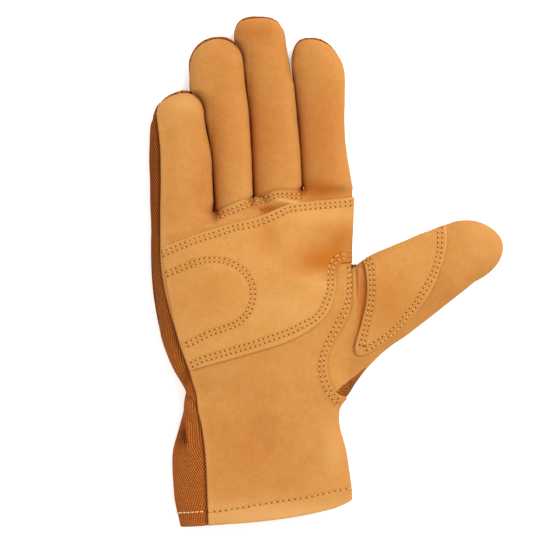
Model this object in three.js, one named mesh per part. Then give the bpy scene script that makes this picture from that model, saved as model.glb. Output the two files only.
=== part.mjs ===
// Leather work glove for the left hand, lying on its canvas back with the palm up.
// Millimetres, +Z up, fingers towards +Y, thumb towards +X.
import * as THREE from 'three';

// Walls of leather and canvas, and the gap that sewn pieces keep
const LEATHER_WALL = 1.3;
const CANVAS_WALL = 1.2;
const PATCH_WALL = 1.2;
const SEAM_GAP = 0.36;
const THUMB_SEAM_GAP = 0.9;
const PATCH_CLEARANCE = 0.5;
const HEM_DEPTH = 7.3;
const HEM_EXTRA_WALL = 0.9;

// The palm side and the back meet at this height; the back below it is pressed flat on the ground
const SEAM_HEIGHT = 8;
const FLATTENING = 1.6;
const FINGER_LIFT = 4;
const FINGER_LIFT_START = 50;
const FINGER_LIFT_LENGTH = 80;
const THUMB_LIFT = 7;
const THUMB_LIFT_START = 15;
const THUMB_LIFT_LENGTH = 76;

// Roundness of the cross-sections: 2 is an ellipse, more is flatter on top
const HAND_POWER = 2.6;
const FINGER_POWER = 2.2;
const THUMB_POWER = 2.3;
const CAP_HEIGHT_POWER = 2.4;
const UNION_POWER = 4;
const FINGER_LEAN = 0.22;
const CROTCH_VALLEY = 12;

// Cells of the meshes along and across
const HAND_ROWS = 22;
const FINGER_ROWS = 7;
const CAP_ROWS = 5;
const THUMB_CELLS = 12;
const WRAP_CELLS = 4;
const PALM_PATCH_ROWS = 7;
const PALM_PATCH_CELLS = 16;
const THUMB_PATCH_ROWS = 9;
const THUMB_PATCH_CELLS = 6;

// Outline of the hand and cuff: left and right edge, the seam of leather to canvas near the left
// edge, and how high the palm stands over the seam height
const HAND = [
  { y: -134.0, left: -75.6, seam: -59.5, right: 15.2, rise: 10.5 },
  { y: -115.7, left: -79.0, seam: -61.3, right: 14.7, rise: 11.0 },
  { y: -95.0, left: -79.6, seam: -62.2, right: 12.0, rise: 12.0 },
  { y: -81.4, left: -76.2, seam: -63.7, right: 7.8, rise: 13.0 },
  { y: -68.0, left: -73.6, seam: -66.8, right: 7.5, rise: 14.0 },
  { y: -62.0, left: -72.5, seam: -67.5, right: 9.0, rise: 14.5 },
  { y: -51.0, left: -78.8, seam: -70.1, right: 11.5, rise: 15.0 },
  { y: -38.0, left: -84.2, seam: -74.8, right: 13.0, rise: 15.5 },
  { y: -20.0, left: -87.5, seam: -78.9, right: 13.6, rise: 16.0 },
  { y: 0.0, left: -90.0, seam: -83.4, right: 13.8, rise: 16.0 },
  { y: 18.0, left: -90.8, seam: -85.4, right: 14.7, rise: 14.0 },
  { y: 34.0, left: -90.9, seam: -85.5, right: 15.2, rise: 11.5 },
  { y: 46.0, left: -91.0, seam: -85.6, right: 14.8, rise: 10.5 },
];

// Bottom edge of the cuff, and the line through the finger crotches
const HEM_LINE = [
  { x: -80.0, y: -133.2 },
  { x: -60.0, y: -131.6 },
  { x: -24.0, y: -128.5 },
  { x: 3.0, y: -123.4 },
  { x: 15.0, y: -119.0 },
];
const CROTCH_LINE = [
  { x: -91.0, y: 24.0 },
  { x: -58.3, y: 30.4 },
  { x: -44.5, y: 36.1 },
  { x: -37.8, y: 38.5 },
  { x: -27.8, y: 41.6 },
  { x: -12.6, y: 43.9 },
  { x: 14.4, y: 46.0 },
];

// Outline of each finger up to where its tip begins to round
const FINGERS = [
  {
    name: 'little', cells: 6, rise: 9.6, tipX: -73.3, tipY: 94.1, capPower: 2.0,
    rows: [
      { y: 28.0, left: -90.9, right: -58.8 },
      { y: 59.5, left: -91.8, right: -60.1 },
      { y: 75.7, left: -91.2, right: -62.9 },
      { y: 79.8, left: -90.2, right: -63.7 },
    ],
  },
  {
    name: 'ring', cells: 5, rise: 9.8, tipX: -55.6, tipY: 122.0, capPower: 2.2,
    rows: [
      { y: 30.4, left: -57.9, right: -38.4 },
      { y: 59.5, left: -59.6, right: -39.4 },
      { y: 75.7, left: -62.3, right: -40.2 },
      { y: 84.0, left: -62.9, right: -40.8 },
      { y: 89.2, left: -64.1, right: -41.3 },
      { y: 95.4, left: -68.8, right: -42.0 },
      { y: 100.0, left: -71.0, right: -42.7 },
      { y: 106.9, left: -71.3, right: -43.4 },
    ],
  },
  {
    name: 'middle', cells: 5, rise: 10.0, tipX: -35.4, tipY: 132.8, capPower: 2.6,
    rows: [
      { y: 38.5, left: -37.4, right: -13.0 },
      { y: 59.5, left: -38.9, right: -13.9 },
      { y: 78.8, left: -39.9, right: -15.4 },
      { y: 103.2, left: -42.5, right: -17.9 },
      { y: 110.0, left: -42.5, right: -19.1 },
      { y: 115.5, left: -42.9, right: -20.0 },
      { y: 121.0, left: -46.9, right: -20.7 },
    ],
  },
  {
    name: 'index', cells: 6, rise: 9.8, tipX: -8.2, tipY: 121.9, capPower: 2.3,
    rows: [
      { y: 43.9, left: -12.3, right: 14.8 },
      { y: 53.8, left: -13.1, right: 13.0 },
      { y: 67.3, left: -14.0, right: 10.6 },
      { y: 87.1, left: -15.8, right: 10.0 },
      { y: 102.2, left: -17.5, right: 10.2 },
    ],
  },
];
const [LITTLE, RING, MIDDLE, INDEX] = FINGERS;

// Where the leather of the little finger meets the canvas
const LITTLE_SEAM = [
  { y: 28.0, x: -85.6 },
  { y: 60.0, x: -85.5 },
  { y: 75.7, x: -86.9 },
  { y: 82.0, x: -87.6 },
];
const LITTLE_SEAM_TIP_SHARE = 0.97;

// The seam of the thumb's front in the palm
const THUMB_SEAM = [
  { y: -68.4, x: 7.5 },
  { y: -66.0, x: 2.6 },
  { y: -58.0, x: -2.3 },
  { y: -49.1, x: -3.4 },
  { y: -39.8, x: -1.1 },
  { y: -31.5, x: 3.4 },
  { y: -24.2, x: 8.1 },
  { y: -14.8, x: 11.7 },
  { y: -7.0, x: 12.7 },
  { y: 2.6, x: 12.9 },
];

// The thumb lies along an axis from the ball of the thumb; its outline is given by the distances of
// its upper and lower edge from that axis
const THUMB_ORIGIN = new THREE.Vector2(10.1, -24.2);
const THUMB_AXIS = new THREE.Vector2(0.9107, 0.413);
const THUMB_SIDE = new THREE.Vector2(-0.413, 0.9107);
const THUMB_OUTLINE = [
  { along: -21.0, upper: 20.0, lower: -40.4 },
  { along: -15.6, upper: 20.4, lower: -37.8 },
  { along: -9.3, upper: 20.8, lower: -33.2 },
  { along: 0.0, upper: 21.3, lower: -28.2 },
  { along: 14.0, upper: 22.2, lower: -23.1 },
  { along: 26.0, upper: 24.2, lower: -20.6 },
  { along: 45.0, upper: 23.9, lower: -16.1 },
  { along: 64.0, upper: 23.3, lower: -11.6 },
  { along: 69.5, upper: 22.8, lower: -10.3 },
];
const THUMB_RISE = [
  { along: -32.0, rise: 0.0 },
  { along: -15.0, rise: 5.0 },
  { along: 0.0, rise: 10.0 },
  { along: 20.0, rise: 12.0 },
  { along: 45.0, rise: 12.0 },
  { along: 69.5, rise: 10.5 },
];
const THUMB_CAP_START = 69.5;
const THUMB_TIP_ALONG = 90.4;
const THUMB_TIP_SIDE = 4.2;
const THUMB_CAP_POWER = 1.95;

// Cross lines of the thumb: where each starts on the upper edge and ends on the lower edge, how much
// of the palm seam's curve it still has, and the canvas left showing at its lower edge
const THUMB_LINES = [
  { upper: 14.6, lower: -20.6, curve: 1.0, sliver: 0.0 },
  { upper: 17.0, lower: -15.6, curve: 0.75, sliver: 4.6 },
  { upper: 21.0, lower: -9.3, curve: 0.5, sliver: 3.4 },
  { upper: 26.0, lower: 0.0, curve: 0.25, sliver: 0.0 },
  { upper: 32.0, lower: 12.0, curve: 0.1, sliver: 0.0 },
  { upper: 39.0, lower: 24.0, curve: 0.0, sliver: 0.0 },
  { upper: 47.0, lower: 37.0, curve: 0.0, sliver: 0.0 },
  { upper: 55.0, lower: 50.0, curve: 0.0, sliver: 0.0 },
  { upper: 62.5, lower: 61.0, curve: 0.0, sliver: 0.0 },
  { upper: 69.5, lower: 69.5, curve: 0.0, sliver: 0.0 },
];

// Edges of the palm's reinforcing patch, from the little finger's side to the thumb's side
const PALM_PATCH = [
  { share: 0.0, topX: -83.6, topY: 10.0, bottomX: -69.0, bottomY: -51.0 },
  { share: 0.14, topX: -73.0, topY: 14.9, bottomX: -58.0, bottomY: -47.6 },
  { share: 0.3, topX: -56.5, topY: 20.9, bottomX: -42.9, bottomY: -43.4 },
  { share: 0.44, topX: -42.5, topY: 24.8, bottomX: -30.0, bottomY: -39.6 },
  { share: 0.56, topX: -31.5, topY: 27.6, bottomX: -18.5, bottomY: -35.6 },
  { share: 0.67, topX: -20.0, topY: 32.4, bottomX: -8.2, bottomY: -29.9 },
  { share: 0.78, topX: -9.5, topY: 34.4, bottomX: 0.4, bottomY: -22.0 },
  { share: 0.88, topX: 0.5, topY: 35.4, bottomX: 3.8, bottomY: -12.0 },
  { share: 0.95, topX: 8.5, topY: 36.3, bottomX: 3.6, bottomY: -1.0 },
  { share: 1.0, topX: 13.6, topY: 37.2, bottomX: 10.6, bottomY: 5.2 },
];

// Edges of the thumb's leaf-shaped patch, from its lower point to the upper edge of the thumb
const THUMB_PATCH = [
  { share: 0.0, leftX: 14.8, leftY: -41.4, rightX: 19.4, rightY: -42.0 },
  { share: 0.15, leftX: 17.0, leftY: -34.0, rightX: 27.0, rightY: -39.8 },
  { share: 0.35, leftX: 20.0, leftY: -22.6, rightX: 38.7, rightY: -32.3 },
  { share: 0.6, leftX: 21.4, leftY: -9.0, rightX: 50.5, rightY: -19.0 },
  { share: 0.8, leftX: 20.6, leftY: -0.5, rightX: 59.0, rightY: -2.5 },
  { share: 0.92, leftX: 19.9, leftY: 3.6, rightX: 61.9, rightY: 9.0 },
  { share: 1.0, leftX: 19.4, leftY: 5.4, rightX: 62.2, rightY: 20.4 },
];

// Soft dents and swellings of the palm side
const DENTS = [
  { name: 'hollow beside the thumb crotch', x: -4.0, y: 15.0, long: 17, wide: 8, turn: 0.35, rise: -1.8 },
  { name: 'crease in the middle of the palm', x: -28.0, y: 6.0, long: 16, wide: 6, turn: 0.5, rise: -0.9 },
  { name: 'fold below the middle finger', x: -34.0, y: 31.0, long: 6, wide: 3.5, turn: 0.4, rise: -1.3 },
  { name: 'crease across the wrist', x: -35.0, y: -66.0, long: 26, wide: 6, turn: 0.1, rise: -1.0 },
  { name: 'padded heel', x: -61.0, y: -15.0, long: 22, wide: 16, turn: 0.25, rise: 1.0 },
];

const clamp = THREE.MathUtils.clamp;
const mix = THREE.MathUtils.lerp;
const smooth = THREE.MathUtils.smoothstep;

// A smooth curve through one column of a table whose rows ascend
function curve(rows, along, column) {
  const places = rows.map((row) => row[along]);
  const values = rows.map((row) => row[column]);
  const last = places.length - 1;
  const slopes = places.map((_, i) => {
    const before = Math.max(i - 1, 0);
    const after = Math.min(i + 1, last);
    return (values[after] - values[before]) / (places[after] - places[before]);
  });
  return (place) => {
    if (place <= places[0]) {
      return values[0];
    }
    if (place >= places[last]) {
      return values[last];
    }
    const i = places.findIndex((next) => next > place) - 1;
    const span = places[i + 1] - places[i];
    const t = (place - places[i]) / span;
    const bend = (3 - 2 * t) * t * t;
    const enter = t * (1 - t) ** 2 * span * slopes[i];
    const leave = t * t * (t - 1) * span * slopes[i + 1];
    return mix(values[i], values[i + 1], bend) + enter + leave;
  };
}

// Height of a superellipse of half width 1 at the offset q
function arch(q, power) {
  return Math.max(0, 1 - Math.abs(q) ** power) ** (1 / power);
}

const handLeft = curve(HAND, 'y', 'left');
const handRight = curve(HAND, 'y', 'right');
const handSeam = curve(HAND, 'y', 'seam');
const handRise = curve(HAND, 'y', 'rise');
const hemLine = curve(HEM_LINE, 'x', 'y');
const crotchLine = curve(CROTCH_LINE, 'x', 'y');
const littleSeam = curve(LITTLE_SEAM, 'y', 'x');
const thumbSeam = curve(THUMB_SEAM, 'y', 'x');
const thumbUpper = curve(THUMB_OUTLINE, 'along', 'upper');
const thumbLower = curve(THUMB_OUTLINE, 'along', 'lower');
const thumbRise = curve(THUMB_RISE, 'along', 'rise');

// Centre, half width and fullness of the hand at y
function handSection(y) {
  const left = handLeft(y);
  const right = handRight(y);
  return { center: (left + right) / 2, half: (right - left) / 2, rise: handRise(y), full: 1 };
}

// The rounded end of a finger or thumb: how far its section has shrunk and moved
function roundEnd(section, along, start, end, tip, power) {
  const share = clamp((along - start) / (end - start), 0, 1);
  section.center = mix(section.center, tip, share ** 1.7);
  section.half *= arch(share, power);
  section.full = arch(share, CAP_HEIGHT_POWER);
  section.rise *= section.full;
  return section;
}

// Each finger's border is the x of the crotch on its right
FINGERS.forEach((finger, i) => {
  const next = FINGERS[i + 1];
  finger.border = next ? (finger.rows[0].right + next.rows[0].left) / 2 : Infinity;
});
for (const finger of FINGERS) {
  finger.capStart = finger.rows.at(-1).y;
  finger.left = curve(finger.rows, 'y', 'left');
  finger.right = curve(finger.rows, 'y', 'right');
}

function fingerSection(finger, y) {
  const left = finger.left(y);
  const right = finger.right(y);
  const section = { center: (left + right) / 2, half: (right - left) / 2, rise: finger.rise };
  return roundEnd(section, y, finger.capStart, finger.tipY, finger.tipX, finger.capPower);
}

function thumbSection(along) {
  const upper = thumbUpper(along);
  const lower = thumbLower(along);
  const section = { center: (upper + lower) / 2, half: (upper - lower) / 2, rise: thumbRise(along) };
  return roundEnd(section, along, THUMB_CAP_START, THUMB_TIP_ALONG, THUMB_TIP_SIDE, THUMB_CAP_POWER);
}

function thumbPlace(x, y) {
  const offset = new THREE.Vector2(x, y).sub(THUMB_ORIGIN);
  return { along: offset.dot(THUMB_AXIS), side: offset.dot(THUMB_SIDE) };
}

function thumbPoint(along, side) {
  return THUMB_ORIGIN.clone().addScaledVector(THUMB_AXIS, along).addScaledVector(THUMB_SIDE, side);
}

function dents(x, y) {
  let height = 0;
  for (const dent of DENTS) {
    const along = (x - dent.x) * Math.cos(dent.turn) + (y - dent.y) * Math.sin(dent.turn);
    const across = (y - dent.y) * Math.cos(dent.turn) - (x - dent.x) * Math.sin(dent.turn);
    height += dent.rise * Math.exp(-((along / dent.long) ** 2) - (across / dent.wide) ** 2);
  }
  return height;
}

// Share of full height, and height over the seam, where the hand and the thumb run into each other
function handAndThumb(x, y) {
  const hand = handSection(y);
  const place = thumbPlace(x, y);
  const thumb = thumbSection(place.along);
  const handArch = arch((x - hand.center) / hand.half, HAND_POWER);
  const thumbArch = arch((place.side - thumb.center) / thumb.half, THUMB_POWER);
  const handTop = hand.rise * handArch;
  const thumbTop = thumb.rise * thumbArch;
  const thumbFull = thumbArch * Math.min(1, thumb.rise / 10);
  const join = (a, b) => (a ** UNION_POWER + b ** UNION_POWER) ** (1 / UNION_POWER);
  const full = join(handArch, thumbFull);
  return { full, top: join(handTop, thumbTop) + dents(x, y) * Math.min(1, full ** 2) };
}

function fingerShape(finger, x, y) {
  const section = fingerSection(finger, y);
  const q = clamp((x - section.center) / Math.max(section.half, 0.01), -1, 1);
  const leant = q - FINGER_LEAN * (1 - q * q);
  return {
    full: arch(q, FINGER_POWER) * section.full,
    top: arch(leant, FINGER_POWER) * section.rise,
  };
}

// The hand with its thumb, running out into the fingers just below the crotch line
function gloveShape(x, y) {
  const hand = handAndThumb(x, y);
  const crotch = crotchLine(x);
  const valley = smooth(y, crotch - CROTCH_VALLEY, crotch);
  if (valley === 0 || x > INDEX.right(y) + 1) {
    return hand;
  }
  const finger = fingerShape(FINGERS.find((other) => x <= other.border), x, y);
  return { full: mix(hand.full, finger.full, valley), top: mix(hand.top, finger.top, valley) };
}

function fingerLift(y) {
  return FINGER_LIFT * clamp((y - FINGER_LIFT_START) / FINGER_LIFT_LENGTH, 0, 1) ** 2;
}

function thumbLift(along) {
  return THUMB_LIFT * clamp((along - THUMB_LIFT_START) / THUMB_LIFT_LENGTH, 0, 1) ** 2;
}

// Heights of the palm side and of the flattened back for a shape at a given lift
function palmSideHeight(shape, lift) {
  return SEAM_HEIGHT + SEAM_GAP / 2 + lift + shape.top;
}

function backHeight(shape, lift) {
  const depth = SEAM_HEIGHT - SEAM_GAP / 2;
  return lift + depth * (1 - Math.min(1, FLATTENING * shape.full));
}

// A sheet collects points and triangles; flat marks the points whose wall is level at an edge
class Sheet {
  constructor(facesDown = false) {
    this.facesDown = facesDown;
    this.points = [];
    this.triangles = [];
    this.level = [];
    this.extra = [];
  }

  point(x, y, z, level = false, extra = 0) {
    this.points.push(new THREE.Vector3(x, y, z));
    this.level.push(level);
    this.extra.push(extra);
    return this.points.length - 1;
  }

  quad(a, b, c, d) {
    if (this.facesDown) {
      this.triangle(a, d, c);
      this.triangle(a, c, b);
    } else {
      this.triangle(a, b, c);
      this.triangle(a, c, d);
    }
  }

  triangle(a, b, c) {
    if (a !== b && b !== c && c !== a) {
      this.triangles.push([a, b, c]);
    }
  }

  // Rows of points joined to each other; all rows have one length
  weave(rows) {
    for (let i = 0; i + 1 < rows.length; i += 1) {
      for (let j = 0; j + 1 < rows[i].length; j += 1) {
        this.quad(rows[i][j], rows[i][j + 1], rows[i + 1][j + 1], rows[i + 1][j]);
      }
    }
  }

  normals() {
    const normals = this.points.map(() => new THREE.Vector3());
    for (const [a, b, c] of this.triangles) {
      const side = this.points[b].clone().sub(this.points[a]);
      const other = this.points[c].clone().sub(this.points[a]);
      const normal = side.cross(other);
      for (const corner of [a, b, c]) {
        normals[corner].add(normal);
      }
    }
    normals.forEach((normal, i) => {
      if (this.level[i]) {
        normal.z = 0;
      }
      normal.normalize();
    });
    return normals;
  }

  // The closed solid between two offsets of the sheet along its normals
  solid(outer, inner) {
    const normals = this.normals();
    const count = this.points.length;
    const positions = [];
    for (const offset of [outer, inner]) {
      this.points.forEach((point, i) => {
        const thicker = offset < outer ? this.extra[i] : 0;
        const place = point.clone().addScaledVector(normals[i], offset - thicker);
        positions.push(place.x, place.y, place.z);
      });
    }
    const faces = [];
    const borders = new Map();
    for (const [a, b, c] of this.triangles) {
      faces.push(a, b, c, c + count, b + count, a + count);
      for (const [from, to] of [[a, b], [b, c], [c, a]]) {
        if (!borders.delete(`${to},${from}`)) {
          borders.set(`${from},${to}`, [from, to]);
        }
      }
    }
    for (const [from, to] of borders.values()) {
      faces.push(to, from, from + count, to, from + count, to + count);
    }
    const geometry = new THREE.BufferGeometry();
    geometry.setAttribute('position', new THREE.Float32BufferAttribute(positions, 3));
    geometry.setIndex(faces);
    geometry.computeVertexNormals();
    return geometry;
  }
}

// Columns of the hand: one run of cells for each finger, with the wrapped canvas before them
const FRONT_CELLS = FINGERS.reduce((sum, finger) => sum + finger.cells, 0);
let firstColumn = 0;
for (const finger of FINGERS) {
  finger.first = firstColumn;
  finger.last = firstColumn + finger.cells;
  firstColumn = finger.last;
}

const acosOf = (share) => Math.acos(clamp(share, -1, 1));

// Angles at which a section starts on the left and ends on the right; 0 is the right edge, pi the left
// edge over the top, and the back runs below from -pi to 0
function handAngles(side, y) {
  const section = handSection(y);
  const inThumb = y > THUMB_SEAM[0].y && y < THUMB_SEAM.at(-1).y;
  const seamAngle = acosOf((handSeam(y) - section.center) / section.half);
  if (side === 'front') {
    const edge = inThumb ? thumbSeam(y) - THUMB_SEAM_GAP / 2 : handRight(y);
    return { left: seamAngle, right: acosOf((edge - section.center) / section.half) };
  }
  const edge = inThumb ? backThumbSeam(y) - SEAM_GAP : handRight(y);
  const gapAngle = SEAM_GAP / section.half / Math.sin(seamAngle);
  return {
    left: seamAngle - 2 * Math.PI + gapAngle,
    right: -acosOf((edge - section.center) / section.half),
  };
}

function fingerAngles(finger, side, y) {
  const section = fingerSection(finger, y);
  let seamAngle = Math.PI;
  if (finger === LITTLE) {
    const seam = Math.max(littleSeam(y), section.center - LITTLE_SEAM_TIP_SHARE * section.half);
    seamAngle = acosOf((seam - section.center) / section.half);
  }
  if (side === 'front') {
    return { left: seamAngle, right: 0 };
  }
  const gapAngle = finger === LITTLE ? SEAM_GAP / section.half / Math.sin(seamAngle) : 0;
  return { left: seamAngle - 2 * Math.PI + gapAngle, right: 0 };
}

// Angle of a column; on the back the first cells hold the canvas that wraps over the left edge
function columnAngle(side, angles, column, first, last, wrapped) {
  if (side === 'front' || !wrapped) {
    return mix(angles.left, angles.right, (column - first) / (last - first));
  }
  if (column < first) {
    return mix(angles.left, -Math.PI, (column - first + WRAP_CELLS) / WRAP_CELLS);
  }
  return mix(-Math.PI, angles.right, (column - first) / (last - first));
}

const fingerOf = (column) => FINGERS.find((finger) => column <= finger.last);

// x of a column on a finger's section; the columns between two fingers lie in the crotch
function fingerX(side, column, y) {
  const finger = fingerOf(column);
  const next = FINGERS.find((other) => other.first === column && other !== LITTLE);
  const at = (which) => {
    const section = fingerSection(which, y);
    const angles = fingerAngles(which, side, y);
    const wrapped = which === LITTLE;
    const angle = columnAngle(side, angles, column, which.first, which.last, wrapped);
    return { x: section.center + section.half * Math.cos(angle), angle };
  };
  const own = at(finger);
  return next ? { x: (own.x + at(next).x) / 2, angle: own.angle } : own;
}

const FINGER_BLEND_START = 0.6;

// A point of the hand at a column and at a share of the way from the hem to the crotch line
function handPoint(side, column, share) {
  let x = mix(-80, 14, column / FRONT_CELLS);
  let y = 0;
  let angle = 0;
  const toFingers = smooth(share, FINGER_BLEND_START, 1);
  for (let i = 0; i < 4; i += 1) {
    y = mix(hemLine(x), crotchLine(x), share);
    const section = handSection(y);
    const angles = handAngles(side, y);
    angle = columnAngle(side, angles, column, 0, FRONT_CELLS, true);
    const onFinger = fingerX(side, column, y);
    x = mix(section.center + section.half * Math.cos(angle), onFinger.x, toFingers);
  }
  const shape = gloveShape(x, y);
  const overTop = Math.sin(angle) > 1e-6;
  const z = side === 'front' || overTop ? palmSideHeight(shape, 0) : backHeight(shape, 0);
  return { x, y, z: side === 'back' && overTop ? z - SEAM_GAP : z };
}

// A point of a finger at a column and a row counted from its base
function fingerPoint(side, finger, column, row, baseGap) {
  const straight = Math.min(row / FINGER_ROWS, 1);
  const angleOnCap = clamp((row - FINGER_ROWS) / CAP_ROWS, 0, 1) * Math.PI / 2;
  const baseX = (finger.left(finger.rows[0].y) + finger.right(finger.rows[0].y)) / 2;
  const baseY = crotchLine(baseX) + baseGap;
  const spineY = mix(baseY, finger.capStart, straight) + (finger.tipY - finger.capStart) * Math.sin(angleOnCap);
  const wrapped = finger === LITTLE;
  let y = spineY;
  let x = baseX;
  let angle = 0;
  for (let i = 0; i < 4; i += 1) {
    const section = fingerSection(finger, y);
    angle = columnAngle(side, fingerAngles(finger, side, y), column, finger.first, finger.last, wrapped);
    x = section.center + section.half * Math.cos(angle);
    y = spineY + (crotchLine(x) - crotchLine(baseX)) * (1 - straight) ** 2;
  }
  const shape = fingerShape(finger, x, y);
  const overTop = Math.sin(angle) > 1e-6;
  const lift = fingerLift(y);
  const z = side === 'front' || overTop ? palmSideHeight(shape, lift) : backHeight(shape, lift);
  return { x, y, z: side === 'back' && overTop ? z - SEAM_GAP : z };
}

// The wall is level at the right edge and in the crotches
function isLevel(column, share) {
  const isCrotch = share === 1 && FINGERS.some((finger) => finger !== LITTLE && finger.first === column);
  return column === FRONT_CELLS || isCrotch;
}

// Rows of a finger's points above its base row, ending in one point at the tip
function fingerRows(sheet, side, finger, baseRow, firstColumnOfRow, baseGap) {
  const rows = [baseRow];
  for (let row = 1; row < FINGER_ROWS + CAP_ROWS; row += 1) {
    const points = [];
    for (let column = firstColumnOfRow; column <= finger.last; column += 1) {
      const { x, y, z } = fingerPoint(side, finger, column, row, baseGap);
      const wrapEdge = finger === LITTLE && column === firstColumnOfRow;
      const level = column === finger.last || (column === finger.first && !wrapEdge && finger !== LITTLE);
      points.push(sheet.point(x, y, z, level));
    }
    rows.push(points);
  }
  const halfGap = side === 'front' ? SEAM_GAP / 2 : -SEAM_GAP / 2;
  const tipHeight = SEAM_HEIGHT + halfGap + fingerLift(finger.tipY);
  const tip = sheet.point(finger.tipX, finger.tipY, tipHeight, true);
  rows.push(repeated(tip, baseRow.length));
  return rows;
}

function repeated(index, count) {
  return new Array(count).fill(index);
}

// The hand's sheet with those fingers that are cut in one piece with it
function handSheet(side, fingersInOne) {
  const sheet = new Sheet(side === 'back');
  const firstColumnOfHand = side === 'back' ? -WRAP_CELLS : 0;
  const hemShare = HEM_DEPTH / 155;
  const shares = [0, hemShare];
  for (let i = 1; i <= HAND_ROWS; i += 1) {
    shares.push(hemShare + (1 - hemShare) * (1 - (1 - i / HAND_ROWS) ** 1.25));
  }
  const rows = shares.map((share) => {
    const row = [];
    for (let column = firstColumnOfHand; column <= FRONT_CELLS; column += 1) {
      const { x, y, z } = handPoint(side, column, share);
      const extra = share <= hemShare ? HEM_EXTRA_WALL : 0;
      row.push(sheet.point(x, y, z, isLevel(column, share), extra));
    }
    return row;
  });
  sheet.weave(rows);
  const crotchRow = rows.at(-1);
  for (const finger of fingersInOne) {
    const from = finger === LITTLE ? firstColumnOfHand : finger.first;
    const base = crotchRow.slice(from - firstColumnOfHand, finger.last - firstColumnOfHand + 1);
    sheet.weave(fingerRows(sheet, side, finger, base, from, 0));
  }
  return sheet;
}

// A finger front that is sewn in at its base
function fingerFrontSheet(finger) {
  const sheet = new Sheet();
  const base = [];
  for (let column = finger.first; column <= finger.last; column += 1) {
    const { x, y, z } = fingerPoint('front', finger, column, 0, SEAM_GAP);
    base.push(sheet.point(x, y, z, column === finger.first || column === finger.last));
  }
  sheet.weave(fingerRows(sheet, 'front', finger, base, finger.first, SEAM_GAP));
  return sheet;
}

// The two ends of a cross line of the thumb
function thumbLineEnds(upperAlong, lowerAlong) {
  const upper = thumbSection(upperAlong);
  const lower = thumbSection(lowerAlong);
  return {
    upper: thumbPoint(upperAlong, upper.center + upper.half),
    lower: thumbPoint(lowerAlong, lower.center - lower.half),
  };
}

// The seam of the back's thumb is the straight line between the ends of the first cross line
function backThumbSeam(y) {
  const { upper, lower } = thumbLineEnds(THUMB_LINES[0].upper, THUMB_LINES[0].lower);
  return mix(lower.x, upper.x, (y - lower.y) / (upper.y - lower.y));
}

function thumbSheet(side) {
  const sheet = new Sheet(side === 'back');
  const lines = THUMB_LINES.slice();
  for (let i = 1; i < CAP_ROWS; i += 1) {
    const capAlong = (THUMB_TIP_ALONG - THUMB_CAP_START) * Math.sin((i / CAP_ROWS) * Math.PI / 2);
    const along = THUMB_CAP_START + capAlong;
    lines.push({ upper: along, lower: along, curve: 0, sliver: 0 });
  }
  const wrapCells = side === 'back' ? 2 : 0;
  const rows = lines.map((line) => {
    const { upper, lower } = thumbLineEnds(line.upper, line.lower);
    const chord = upper.distanceTo(lower);
    const edgeAngle = acosOf(-1 + 2 * line.sliver / chord);
    const wraps = line.sliver > 0 ? wrapCells : 0;
    const row = [];
    for (let cell = -wraps; cell <= THUMB_CELLS; cell += 1) {
      let angle = mix(edgeAngle, 0, cell / THUMB_CELLS);
      if (side === 'back') {
        const wrapStart = edgeAngle - 2 * Math.PI + 2 * SEAM_GAP / chord / Math.max(Math.sin(edgeAngle), 0.1);
        angle = cell < 0 ? mix(-Math.PI, wrapStart, -cell / wrapCells) : mix(-Math.PI, 0, cell / THUMB_CELLS);
      }
      const share = (1 + Math.cos(angle)) / 2;
      const place = lower.clone().lerp(upper, share);
      if (side === 'front') {
        const bend = thumbSeam(place.y) - backThumbSeam(place.y);
        const within = clamp(place.y, THUMB_SEAM[0].y, THUMB_SEAM.at(-1).y) === place.y;
        place.x += within ? line.curve * bend : 0;
      }
      place.x += line === THUMB_LINES[0] ? THUMB_SEAM_GAP / 2 : 0;
      const shape = gloveShape(place.x, place.y);
      const lift = thumbLift(thumbPlace(place.x, place.y).along);
      const overTop = side === 'back' && cell < 0;
      let z = side === 'front' ? palmSideHeight(shape, lift) : backHeight(shape, lift);
      z = overTop ? palmSideHeight(shape, lift) - SEAM_GAP : z;
      const level = cell === THUMB_CELLS || (cell === 0 && line.sliver === 0);
      row.push(sheet.point(place.x, place.y, z, level));
    }
    return [...repeated(row[0], wrapCells - wraps), ...row];
  });
  const tipPlace = thumbPoint(THUMB_TIP_ALONG, THUMB_TIP_SIDE);
  const halfGap = side === 'front' ? SEAM_GAP / 2 : -SEAM_GAP / 2;
  const tipHeight = SEAM_HEIGHT + halfGap + thumbLift(THUMB_TIP_ALONG);
  const tip = sheet.point(tipPlace.x, tipPlace.y, tipHeight, true);
  rows.push(repeated(tip, rows[0].length));
  // The lines run from the lower edge to the upper one, so the rows are woven from the tip inwards
  sheet.weave(rows.reverse());
  return sheet;
}

// A patch between two edges, lying on the hand and thumb
function patchSheet(rowCount, cellCount, place) {
  const sheet = new Sheet();
  const rows = [];
  for (let i = 0; i <= rowCount; i += 1) {
    const row = [];
    for (let j = 0; j <= cellCount; j += 1) {
      const { x, y } = place(j / cellCount, Math.sin((i / rowCount) * Math.PI / 2));
      const shape = gloveShape(x, y);
      const along = thumbPlace(x, y).along;
      const lift = x > THUMB_ORIGIN.x + 5 ? thumbLift(along) : 0;
      row.push(sheet.point(x, y, palmSideHeight(shape, lift)));
    }
    rows.push(row);
  }
  sheet.weave(rows);
  return sheet;
}

function palmPatchSheet() {
  const edge = (column) => curve(PALM_PATCH, 'share', column);
  const [topX, topY, bottomX, bottomY] = ['topX', 'topY', 'bottomX', 'bottomY'].map(edge);
  return patchSheet(PALM_PATCH_ROWS, PALM_PATCH_CELLS, (across, up) => {
    const x = mix(bottomX(across), topX(across), up);
    const y = mix(bottomY(across), topY(across), up);
    const toSeam = handSeam(y) + 0.9 - mix(bottomX(0), topX(0), up);
    return { x: x + toSeam * Math.max(0, 1 - across / 0.2) ** 2, y };
  });
}

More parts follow.
